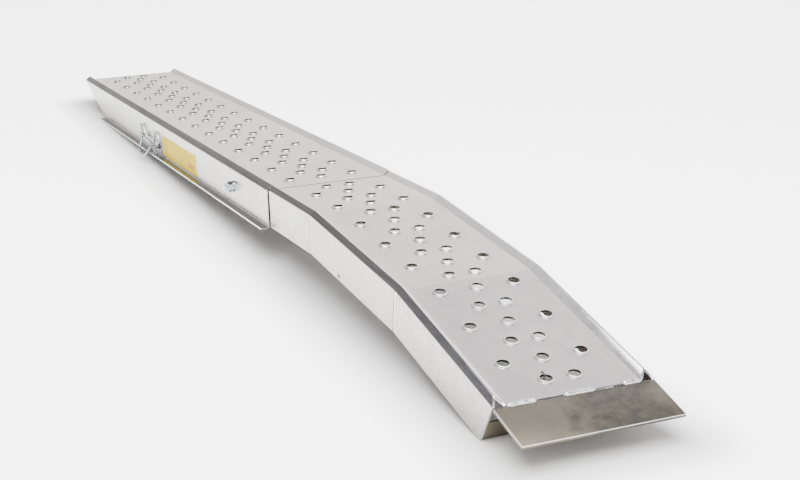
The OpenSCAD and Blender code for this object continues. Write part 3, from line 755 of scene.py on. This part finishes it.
def mill_material(name, tone, dark_half_weight):
    """Hot-rolled plate: tan and olive clouds, a darker mottled half, a few faint scratches."""
    m = Material(name)
    cloud = m.noise(14.0, detail=5.0, rough=0.62)
    mottle = m.noise(55.0, detail=5.0, rough=0.7, shift=(2, 9, 4))
    grain = m.noise(900.0, detail=2.0)
    across = m.node("ShaderNodeSeparateXYZ", {"Vector": m.coords}).outputs["X"]
    drift = m.math("ADD", across, m.span(cloud, 0.3, 0.7, -0.06, 0.06))

    def shade(r, g, b):
        return (r * tone, g * tone, b * tone, 1)

    color = m.mix(m.span(cloud, 0.34, 0.66), shade(0.17, 0.15, 0.115), shade(0.25, 0.22, 0.17))
    # Darker over the plate's +X side, mottled
    half = m.math("MULTIPLY", m.span(drift, -0.03, 0.02), m.span(drift, 0.15, 0.09, 0.5, 1.0))
    dark = m.math("MULTIPLY", half, m.span(mottle, 0.38, 0.62, 0.55, 1.0))
    color = m.mix(m.math("MULTIPLY", dark, dark_half_weight), color, shade(0.075, 0.073, 0.062))
    marks = m.scratches(430, 0.95, 30, 9.0, (0.52, 0.62), 0.72)
    color = m.mix(m.math("MULTIPLY", marks, 0.3), color, shade(0.42, 0.40, 0.36))
    edge = m.node("ShaderNodeAttribute", attribute_name="cut").outputs["Fac"]
    color = m.mix(m.math("MULTIPLY", edge, 0.85), color, (0.78, 0.78, 0.77, 1))
    rough = m.span(cloud, 0.3, 0.7, 0.5, 0.36)
    height = m.math("ADD", m.math("MULTIPLY", grain, 0.5), m.math("MULTIPLY", marks, -0.9))
    return m.finish(color, rough, m.bump(height, 0.00005, 0.5))


def bar_material():
    """Extruded bar: drawn lines along the arm and dark smudges. Its tones are painted dark, as painted
    shade in the gap beside the walls.
    """
    m = Material("extruded_bar")
    lines = m.noise(1.0, (500, 4, 900), 3.0, 0.6)
    cloud = m.noise(12.0, detail=4.0)
    color = m.mix(m.span(lines, 0.35, 0.65), (0.16, 0.155, 0.15, 1), (0.27, 0.265, 0.26, 1))
    color = m.mix(m.math("MULTIPLY", m.span(cloud, 0.5, 0.7), 0.5), color, (0.08, 0.078, 0.075, 1))
    return m.finish(color, m.span(cloud, 0.3, 0.7, 0.36, 0.5), m.bump(lines, 0.00006, 0.5))


def weld_material():
    """Bright weld metal with a satin skin and slightly dull patches."""
    m = Material("weld_metal")
    skin = m.noise(420.0, detail=4.0, rough=0.6)
    patch = m.noise(70.0, detail=2.0)
    color = m.mix(m.span(skin, 0.35, 0.65), (0.50, 0.50, 0.52, 1), (0.85, 0.85, 0.85, 1))
    color = m.mix(m.math("MULTIPLY", m.span(patch, 0.55, 0.7), 0.25), color, (0.55, 0.53, 0.50, 1))
    return m.finish(color, m.span(skin, 0.3, 0.7, 0.2, 0.34), m.bump(skin, 0.00012, 0.5))


def zinc_material(name, low, high):
    """Zinc plating: cloudy, from one tone to another, with a fine pale spangle."""
    m = Material(name)
    spangle = m.node("ShaderNodeTexVoronoi", {"Vector": m.coords, "Scale": 700.0}).outputs["Distance"]
    cloud = m.noise(160.0, detail=3.0)
    color = m.mix(m.span(cloud, 0.35, 0.65), (*low, 1), (*high, 1))
    color = m.mix(m.math("MULTIPLY", m.span(spangle, 0.2, 0.75), 0.12), color, (0.9, 0.9, 0.88, 1))
    return m.finish(color, m.span(cloud, 0.3, 0.7, 0.10, 0.2), m.bump(cloud, 0.00005, 0.4))


def black_material():
    """Black oxide steel with a faint warm bloom and paler rubbed patches."""
    m = Material("black_oxide")
    cloud = m.noise(220.0, detail=4.0)
    rub = m.noise(60.0, detail=3.0, shift=(5, 5, 5))
    color = m.mix(m.span(cloud, 0.35, 0.65), (0.015, 0.015, 0.017, 1), (0.05, 0.048, 0.046, 1))
    color = m.mix(m.math("MULTIPLY", m.span(rub, 0.55, 0.75), 0.4), color, (0.16, 0.155, 0.15, 1))
    return m.finish(color, m.span(cloud, 0.3, 0.7, 0.34, 0.5), m.bump(cloud, 0.00006, 0.5), metallic=0.7)


def worn_material():
    """Worn steel wire: grey with brown bloom."""
    m = Material("worn_steel")
    cloud = m.noise(180.0, detail=4.0)
    color = m.mix(m.span(cloud, 0.4, 0.62), (0.20, 0.19, 0.18, 1), (0.06, 0.04, 0.028, 1))
    return m.finish(color, m.span(cloud, 0.3, 0.7, 0.25, 0.5), m.bump(cloud, 0.0001, 0.6), metallic=0.9)


def label_material():
    """Blank printed film: pale yellow, faintly mottled, with one plain reddish patch."""
    m = Material("label_film")
    cloud = m.noise(22.0, detail=4.0)
    fine = m.noise(260.0, detail=3.0)
    color = m.mix(m.span(cloud, 0.35, 0.65), (0.46, 0.34, 0.004, 1), (0.56, 0.43, 0.009, 1))
    color = m.mix(m.math("MULTIPLY", m.span(fine, 0.48, 0.62), 0.45), color, (0.24, 0.18, 0.006, 1))
    patch = m.node("ShaderNodeAttribute", attribute_name="cut").outputs["Fac"]
    color = m.mix(m.math("MULTIPLY", patch, 0.75), color, (0.42, 0.05, 0.03, 1))
    return m.finish(color, 0.5, m.bump(fine, 0.00003, 0.4), metallic=0.0, Specular_IOR_Level=0.08)


SHEET_FINISH = sheet_material()
# Lit and shaded copies of one plate finish: the end plate is painted brighter than the lip, as painted
# light in the shade at the tailgate's end
LIP_FINISH = mill_material("lip_plate", 0.74, 0.9)
END_FINISH = mill_material("end_plate", 1.1, 0.5)
BAR_FINISH = bar_material()
WELD_FINISH = weld_material()
ZINC_FINISH = zinc_material("zinc_plate", (0.36, 0.40, 0.45), (0.58, 0.63, 0.70))
CHAIN_FINISH = zinc_material("dull_zinc", (0.11, 0.12, 0.14), (0.27, 0.30, 0.34))
BLACK_FINISH = black_material()
WORN_FINISH = worn_material()
LABEL_FINISH = label_material()

# Finishes of the CAD's own pieces; the ones that no finish is named for are bright zinc
FINISHES = {"hinge_arm_left": BAR_FINISH, "hinge_arm_right": BAR_FINISH, "pin_bush": BLACK_FINISH}
DULL_PIECES = (
    "hook_chain", "hook_ring", "hook_anchor", "snap_gate",
    "pin_chain", "pin_tail", "pin_anchor", "lock_pin",
)
FINISHES.update((dull, CHAIN_FINISH) for dull in DULL_PIECES)
for node_name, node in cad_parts.items():
    node.data.materials.clear()
    node.data.materials.append(FINISHES.get(node_name, ZINC_FINISH))


# ---- Ground section ----


def ground_sheet():
    half = half_profile(GROUND_W, GROUND_CURB, GROUND_WALL_H, FLANGE_W)
    radii = (2.0, 4.4, 3.7, 3.0)
    flat_half = GROUND_W / 2 - sum(GROUND_CURB[:2]) - CURB_EASE
    holes = [
        (x, (GROUND_LEN - GROUND_FIRST_ROW - row * ROW_PITCH, 0.0))
        for row in range(GROUND_ROWS) for x in row_columns(row)
    ]
    build = sheet_build(half, radii, flat_half, [ground_joint, ground_end], [holes])
    obj = build.piece("ground_sheet", "ground_section", "deck_sheet", SHEET_FINISH, ["ground_deck"])
    bush_r, rivet_r = 6.0, 2.5
    left = (-WALL_X - BORE_REACH, -WALL_X + SHEET + BORE_REACH)
    right = (-left[1], -left[0])
    drill(obj, [
        (*left, PIVOT_Y, -PIVOT_DEPTH, BOLT_R), (*right, PIVOT_Y, -PIVOT_DEPTH, BOLT_R),
        (*left, PIN_Y, -PIN_DEPTH, bush_r), (*left, HOOK_ANCHOR_Y, -ANCHOR_DEPTH, rivet_r),
        (*left, PIN_ANCHOR_Y, -ANCHOR_DEPTH, rivet_r),
    ])


def tailgate_sheet():
    half = half_profile(TAIL_W, TAIL_CURB, TAIL_WALL_H, 0)
    radii = (4.2, 3.6, 3.0)
    flat_half = TAIL_W / 2 - sum(TAIL_CURB[:2]) - CURB_EASE
    # Offset along the deck and depth of the groove of the sections round a bend
    near_bend = (
        (-6.1, 0.0), (-5.6, 0.0), (-5.2, SEAM_GROOVE), (-1.6, SEAM_GROOVE), (-1.2, 0.0), (2.5, 0.0),
    )
    stations = [tail_joint]
    for d in BEND_AT:
        stations += [bend_station(d, offset, groove) for offset, groove in near_bend]
    stations.append(tail_end)
    spans = [[] for _ in stations[:-1]]
    for row in range(TAIL_ROWS):
        d = TAIL_FIRST_ROW + row * ROW_PITCH
        bends_passed = sum(d >= at for at in BEND_AT)
        spans[bends_passed * len(near_bend)] += [(x, tail_point(d)) for x in row_columns(row)]
    build = sheet_build(half, radii, flat_half, stations, spans)
    obj = build.piece("tailgate_sheet", "tailgate_section", "deck_sheet", SHEET_FINISH,
                      ["tailgate_deck"])
    y, z = turned(PIN_Y - PIVOT_Y, PIVOT_DEPTH - PIN_DEPTH, -FOLD_END)
    across = (-WALL_EDGE - BORE_REACH, -WALL_EDGE + SHEET + BORE_REACH)
    pin_clearance = 0.6
    drill(obj, [(*across, y + PIVOT_Y, z - PIVOT_DEPTH, PIN_R + pin_clearance)])


ground_sheet()
tailgate_sheet()


def rectangle(low, high, inset=0.0):
    """Corners of a [y, z] rectangle, all moved inwards by inset."""
    y0, z0, y1, z1 = low[0] + inset, low[1] + inset, high[0] - inset, high[1] - inset
    return (y0, z0), (y1, z0), (y1, z1), (y0, z1)


def label_film():
    """Thin film with rounded corners; one plain patch stands in for the printed panel."""
    build = Build()
    margin, corner_r, steps = 0.5, 4.0, 6
    edge_t, film_t, patch_t = 0.25, 0.38, 0.4
    y0, y1 = LABEL_Y + margin, LABEL_Y + LABEL_LEN - margin
    z0, z1 = LABEL_TOP - LABEL_H + margin, LABEL_TOP - margin
    outline = []
    for y, z, start in (
        (y1 - corner_r, z1 - corner_r, 0), (y0 + corner_r, z1 - corner_r, 90),
        (y0 + corner_r, z0 + corner_r, 180), (y1 - corner_r, z0 + corner_r, 270),
    ):
        for k in range(steps + 1):
            t = math.radians(start + 90 * k / steps)
            outline.append((y + corner_r * math.cos(t), z + corner_r * math.sin(t)))
    middle = ((y0 + y1) / 2, (z0 + z1) / 2)
    bevel = 0.4

    def shrunk(p):
        return [c + (bevel if c < m else -bevel) for c, m in zip(p, middle)]

    back = build.add([(-WALL_X, y, z) for y, z in outline])
    edge = build.add([(-WALL_X - edge_t, y, z) for y, z in outline])
    front = build.add([(-WALL_X - film_t, *shrunk(p)) for p in outline])
    build.strip(back, edge)
    build.strip(edge, front)
    build.face(*back)
    build.face(*front)
    low, high = (y0 + 26, z0 + 13), (y0 + 76, z0 + 25)
    base = build.add([(-WALL_X - film_t, y, z) for y, z in rectangle(low, high)])
    top = build.add([(-WALL_X - patch_t, y, z) for y, z in rectangle(low, high, 0.1)])
    build.strip(base, top, cut=True)
    build.face(*top, cut=True)
    build.face(*reversed(base), cut=True)
    build.piece("label_film", "ground_section", "label", LABEL_FINISH, ["label"])


label_film()


# ---- Hinge hardware ----

WASHER_T, INNER_PLAY = 2.5, 0.3
# Half across the flats, the head's height, where its chamfer starts, and the ring at its middle
HEX_R, HEAD_T, HEAD_CHAMFER_R, HEAD_CENTRE_R = 10.9, 8.0, 10.6, 0.5
NUT_T, NUT_CHAMFER_R = 10.5, 10.7
COLLAR_T, COLLAR_R = 4.0, 9.2  # the nylon collar on the nut
TIP_OUT, THREAD_PITCH = 5.5, 1.3  # the bolt's tip beyond the collar, and its ring grooves
HEAD_X = TAIL_W / 2 - SHEET - ARM_T - INNER_PLAY - WASHER_T
NUT_X = WALL_X + WASHER_T
COLLAR_X = NUT_X + NUT_T
TIP_X = COLLAR_X + COLLAR_T + TIP_OUT


def sided(points, side):
    return [(side * x, PIVOT_Y + y, -PIVOT_DEPTH + z) for x, y, z in points]


def bolt(side, name):
    build = Build()
    rings = hex_rings(HEX_R, HEAD_X - HEAD_T, HEAD_X, HEAD_CHAMFER_R, HEAD_CENTRE_R)[:5]
    # Place and depth below the shank's radius: the shank, the tip's ring grooves, its chamfer
    profile = [(HEAD_X, 0.0), (COLLAR_X + 3.1, 0.05)]
    x = COLLAR_X + 3.3
    while x + THREAD_PITCH < TIP_X - 1.6:
        profile += [(x, 0.75), (x + THREAD_PITCH * 0.5, 0.02), (x + THREAD_PITCH * 0.62, 0.02)]
        x += THREAD_PITCH
    profile += [(TIP_X - 1.3, 0.5), (TIP_X, 1.7)]
    rings += [circle(x, BOLT_R - depth, HEX_POINTS) for x, depth in profile]
    build.tube([sided(r, side) for r in rings])
    build.piece(name, "ground_section", "zinc_hardware", ZINC_FINISH,
                [name.replace("hinge", "pivot")], sharp=30)


def nut(side, name):
    build = Build()
    bore_r = BOLT_R + 0.02
    rings = hex_rings(HEX_R, NUT_X, COLLAR_X, NUT_CHAMFER_R, bore_r)[:-1]
    collar = ((0.0, COLLAR_R), (2.7, COLLAR_R), (3.6, 8.6), (COLLAR_T, 7.6), (COLLAR_T, bore_r))
    rings += [circle(COLLAR_X + x, r, HEX_POINTS) for x, r in collar]
    build.loop([sided(r, side) for r in rings])
    build.piece(name, "ground_section", "zinc_hardware", ZINC_FINISH,
                [name.replace("locking_nut", "lock_nut")], sharp=25)


for side, word in ((-1, "left"), (1, "right")):
    bolt(side, f"hinge_bolt_{word}")
    nut(side, f"locking_nut_{word}")


# ---- Latch and tether ----


def hook_matrix():
    """Places HOOK_PATH, which is flat, beside the near wall under the hook's anchor."""
    corner = (-WALL_X - 9, HOOK_ANCHOR_Y - 22, -ANCHOR_DEPTH - 21)
    return (
        Matrix.Translation(corner) @ Matrix.Rotation(math.radians(HOOK_LEAN), 4, "Y")
        @ Matrix.Rotation(math.radians(-90), 4, "Z") @ Matrix.Rotation(math.radians(90), 4, "X")
    )


def snap_hook():
    build = Build()
    add_rings(build, hook_matrix(), rod(arc_path(HOOK_PATH, HOOK_BENDS), HOOK_ROD_R, 24))
    start, end = Vector(HOOK_PATH[0]), Vector(HOOK_PATH[-1])
    along = math.atan2(end.y - start.y, end.x - start.x)
    gate = hook_matrix() @ Matrix.Translation((*start, 0)) @ Matrix.Rotation(along, 4, "Z")
    # The tongue that the gate's rivet goes through
    tongue_from, tongue_to, ease = (-3.5, -2.4, -1.0), (6.2, 2.4, 1.0), 0.4
    add_slab(build, gate, tongue_from, tongue_to, ease)
    build.piece("hook_body", "snap_hook", "zinc_hardware", CHAIN_FINISH, ["snap_hook"])


def tether():
    build = Build()
    d = TAIL_FIRST_ROW + (TAIL_ROWS - 1) * ROW_PITCH
    at = (
        on_tailgate(d) @ Matrix.Translation((-INNER_COLUMN, HOLE_R + 0.6, RIM_H))
        @ Matrix.Rotation(math.radians(PITCH - sum(BENDS)), 4, "X")
    )
    wire_r, eye_r, stem = 1.75, 5.5, 30.0
    path = ((5.4, -0.2), (5.4, 2.4), (-4.2, 2.4), (-4.2, -stem))
    bend_r = 2.3
    plane = at @ Matrix.Rotation(math.pi / 2, 4, "Z") @ Matrix.Rotation(math.pi / 2, 4, "X")
    add_rings(build, plane, rod(arc_path(path, (bend_r, bend_r), 12), wire_r, 20))
    below = Matrix.Translation((0, path[-1][0], -stem - eye_r))
    ring = at @ below @ Matrix.Rotation(math.pi / 2, 4, "Y")
    add_rings(build, ring, torus_rings(eye_r, wire_r), closed=True)
    build.piece("tether_wire", "tether", "dark_steel", WORN_FINISH, ["tether_hook"])


snap_hook()
tether()


# ---- Tailgate end and welds ----

WALL_END_LEN = math.hypot(WALL_CUT_BACK, TAIL_WALL_H)
END_PLATE_H, END_PLATE_T, END_PLATE_INSET = 46.0, 4.0, 0.8
BEAD_ROOT = 0.6  # how far a bead goes below the surfaces that it joins
BEAD_SEAT = 1.3  # a fillet bead's axis is this far from both surfaces
ARM_WELDS, ARM_WELD_LEN = (-215.0, -130.0, -60.0), 50.0
END_WELD_FROM, END_WELD_LEN = 12.0, 30.0
# Half width, height and ripple pitch of each kind of bead, and the seed of its ripples
LIP_BEAD, LIP_SEED = (5.2, 4.6, 3.4), 11
END_BEAD, END_SEED = (2.6, 1.5, 2.6), 31
SEAM_BEAD, SEAM_SEED = (2.0, 0.45, 2.4), 41
ARM_BEAD, ARM_SEED = (2.6, 1.4, 2.8), 51
FILLET_TAPER = 3.0


def lip_sheet():
    build = Build()
    lip = (
        Matrix.Translation((0, *tail_point(TOTAL_RUN)))
        @ Matrix.Rotation(math.radians(sum(BENDS) + LIP_ANGLE), 4, "X")
    )
    wider_gap, ease = 1.4, 0.9
    add_slab(build, lip, (-LIP_W / 2, -LIP_LEN, -LIP_DROP - LIP_T),
             (LIP_W / 2, -LIP_GAP - wider_gap, -LIP_DROP), ease)
    # The rounded upper edge is rubbed bright: faces whose middle is this far under the top
    bright_from, bright_to = -0.05, -2.6
    to_lip = lip.inverted()
    for i, face in enumerate(build.faces):
        depth = sum((to_lip @ Vector(build.points[k])).z for k in face) / len(face) + LIP_DROP
        if bright_to < depth < bright_from:
            build.cut.append(i)
    build.piece("lip_sheet", "tailgate_section", "lip_plate", LIP_FINISH, ["lip_plate"])

    beads = Build()
    bead_tilt = 12
    for n, (x0, x1) in enumerate(LIP_WELDS):
        place = (
            Matrix.Translation((x0, *tail_point(TOTAL_RUN, -LIP_GAP / 2, -LIP_DROP / 2)))
            @ Matrix.Rotation(math.radians(sum(BENDS) + bead_tilt), 4, "X")
        )
        add_rings(beads, place, bead_rings(x1 - x0, *LIP_BEAD, LIP_SEED + n, BEAD_ROOT))
    beads.piece("lip_beads", "tailgate_section", "weld", WELD_FINISH, ["lip_welds"], sharp=50)


def end_sheet():
    build = Build()
    foot_z = -TAIL_WALL_H + 0.5
    top_z = foot_z + END_PLATE_H * TAIL_WALL_H / WALL_END_LEN
    flange, bend_r, play = 16, 6.0, 0.6

    def face(z):
        return WALL_CUT_BACK * -z / TAIL_WALL_H + END_PLATE_INSET

    route = [(face(foot_z) + flange, foot_z), (face(foot_z), foot_z), (face(top_z), top_z)]
    outer, normals = rounded(route, (bend_r,), 10)
    inner = [p + n * END_PLATE_T for p, n in zip(outer, normals)]
    outline = [*outer, *reversed(inner)]
    half = (TAIL_W - 2 * SHEET - play) / 2
    rings = [[(x, *tail_point(TOTAL_RUN, p.x, p.y)) for p in outline] for x in (-half, 0.0, half)]
    build.tube(rings)
    build.piece("end_sheet", "tailgate_section", "lip_plate", END_FINISH, ["end_plate"])

    beads = Build()
    cut = (
        Matrix.Translation((0, *tail_point(TOTAL_RUN)))
        @ Matrix.Rotation(math.radians(sum(BENDS)) + math.atan2(WALL_CUT_BACK, TAIL_WALL_H), 4, "X")
    )
    depth = END_PLATE_INSET + END_PLATE_T + BEAD_SEAT
    for side in (-1, 1):
        corner = (side * (WALL_EDGE - SHEET - BEAD_SEAT), depth, END_WELD_FROM - WALL_END_LEN)
        place = cut @ frame_matrix(corner, (0, 0, 1), (-side, 1, 0))
        rings = bead_rings(END_WELD_LEN, *END_BEAD, END_SEED + side, BEAD_ROOT, FILLET_TAPER)
        add_rings(beads, place, rings)
    beads.piece("end_beads", "tailgate_section", "weld", WELD_FINISH, ["end_plate_welds"], sharp=50)


def wall_beads(side, word):
    seams = Build()
    for n, d in enumerate(BEND_AT):
        mitre = bend_station(d, 0.0)
        low = Vector((side * WALL_EDGE, *mitre(-TAIL_WALL_H + 1)))
        high = Vector((side * WALL_EDGE, *mitre(-1.0)))
        place = frame_matrix(low, high - low, (side, 0, 0))
        rings = bead_rings((high - low).length, *SEAM_BEAD, SEAM_SEED + n, depth=0.3, taper=2)
        add_rings(seams, place, rings)
    seams.piece(f"seam_beads_{word}", "tailgate_section", "weld", WELD_FINISH,
                [f"seam_welds_{word}"], sharp=50)

    arms = Build()
    arm_half_height = PIVOT_DEPTH - SHEET - 0.8
    foot_z = -PIVOT_DEPTH - arm_half_height
    for n, y in enumerate(ARM_WELDS):
        corner = (side * (WALL_EDGE - SHEET - BEAD_SEAT), y, foot_z - BEAD_SEAT)
        place = frame_matrix(corner, (0, 1, 0), (-side, 0, -1))
        rings = bead_rings(ARM_WELD_LEN, *ARM_BEAD, ARM_SEED + n, BEAD_ROOT, FILLET_TAPER)
        add_rings(arms, place, rings)
    arms.piece(f"arm_beads_{word}", "tailgate_section", "weld", WELD_FINISH,
               [f"arm_welds_{word}"], sharp=50)


lip_sheet()
end_sheet()
wall_beads(-1, "left")
wall_beads(1, "right")


# ---- Floor, light and camera ----

FLOOR_REACH = 30.0
FLOOR_GLOW, GLOW_FADE = 3.9, 0.16
SHADED = (("X", 0.14), ("Y", 1.50))  # half sizes of the unlit patch under the ramp

# Colour of the sky at each height, from 0 at the horizon to 1 overhead
SKY = (
    (0.08, (0.55, 0.54, 0.55)), (0.17, (0.75, 0.735, 0.735)), (0.23, (1.0, 0.975, 0.95)),
    (0.45, (0.80, 0.775, 0.76)), (0.66, (0.70, 0.68, 0.70)), (0.84, (0.08, 0.08, 0.09)),
)
DARK_CORNER = (0.05, 0.05, 0.06)
SKY_STRENGTH = 3.2

LAMP_AT, LAMP_TARGET = (-0.8, -1.9, 3.8), (-0.4, -0.5, 0)
LAMP_SIZE, LAMP_POWER = (3.6, 4.4), 520

# The camera that was fitted to the photograph
CAMERA_AT = (-1.1768, -3.4789, 1.0750)
CAMERA_FORWARD = (0.37161, 0.87948, -0.29736)
CAMERA_RIGHT = (0.91902, -0.39388, -0.01646)
CAMERA_LENS, SENSOR_WIDTH = 71.085, 36.0


def floor_paint():
    """Matt pale paint, lit from within up to a short way from the ramp.

    What is under the ramp stays in shade."""
    m = Material("floor_paint")
    place = m.node("ShaderNodeSeparateXYZ", {"Vector": m.coords}).outputs
    squares = []
    for axis, reach in SHADED:
        outside = m.math("SUBTRACT", m.math("ABSOLUTE", place[axis]), reach)
        squares.append(m.math("POWER", m.math("MAXIMUM", outside, 0.0), 2.0))
    distance = m.math("SQRT", m.math("ADD", *squares))
    glow = m.span(distance, 0.0, GLOW_FADE, 0.0, FLOOR_GLOW, interpolation_type="SMOOTHSTEP")
    return m.finish((0.75, 0.745, 0.74, 1), 0.9, metallic=0.0, Specular_IOR_Level=0.1,
                    Emission_Color=(1.0, 1.0, 1.0, 1), Emission_Strength=glow)


def sky():
    """Bright from low to middle heights, dark overhead and in the back left corner."""
    world = bpy.data.worlds.new("studio")
    bpy.context.scene.world = world
    world.use_nodes = True
    n = Nodes(world.node_tree)
    coords = n.node("ShaderNodeTexCoord").outputs["Generated"]
    toward = n.node("ShaderNodeSeparateXYZ", {"Vector": coords}).outputs
    ramp = n.node("ShaderNodeValToRGB", {0: toward["Z"]})
    stops = ramp.color_ramp.elements
    while len(stops) < len(SKY):
        stops.new(0.5)
    for stop, (at, color) in zip(stops, SKY):
        stop.position = at
        stop.color = (*color, 1)
    to_left = n.span(toward["X"], 0.14, -0.04, interpolation_type="SMOOTHSTEP")
    upward = n.span(toward["Z"], 0.04, 0.16, 0.0, 0.62, interpolation_type="SMOOTHSTEP")
    corner = n.math("MULTIPLY", to_left, upward)
    background = n.tree.nodes["Background"].inputs
    n.put(background["Color"], n.mix(corner, ramp.outputs[0], (*DARK_CORNER, 1)))
    n.put(background["Strength"], SKY_STRENGTH)


def studio():
    mesh = bpy.data.meshes.new("floor")
    r = FLOOR_REACH
    mesh.from_pydata([(-r, -r, 0), (r, -r, 0), (r, r, 0), (-r, r, 0)], [], [(0, 1, 2, 3)])
    mesh.materials.append(floor_paint())
    floor = link("floor", mesh)
    sky()
    lamp = bpy.data.lights.new("overhead", "AREA")
    lamp.shape = "RECTANGLE"
    lamp.size, lamp.size_y = LAMP_SIZE
    lamp.energy = LAMP_POWER
    obj = link("overhead", lamp)
    obj.location = LAMP_AT
    aim = Vector(LAMP_TARGET) - Vector(LAMP_AT)
    obj.rotation_euler = aim.to_track_quat("-Z", "Y").to_euler()


def camera():
    data = bpy.data.cameras.new("camera")
    data.lens = CAMERA_LENS
    data.sensor_width = SENSOR_WIDTH
    data.clip_end = 100
    obj = link("camera", data)
    forward = Vector(CAMERA_FORWARD).normalized()
    right = Vector(CAMERA_RIGHT)
    right = (right - forward * right.dot(forward)).normalized()
    up = right.cross(forward)
    m = Matrix((right, up, -forward)).transposed().to_4x4()
    obj.matrix_world = Matrix.Translation(CAMERA_AT) @ m
    bpy.context.scene.camera = obj


studio()
camera()
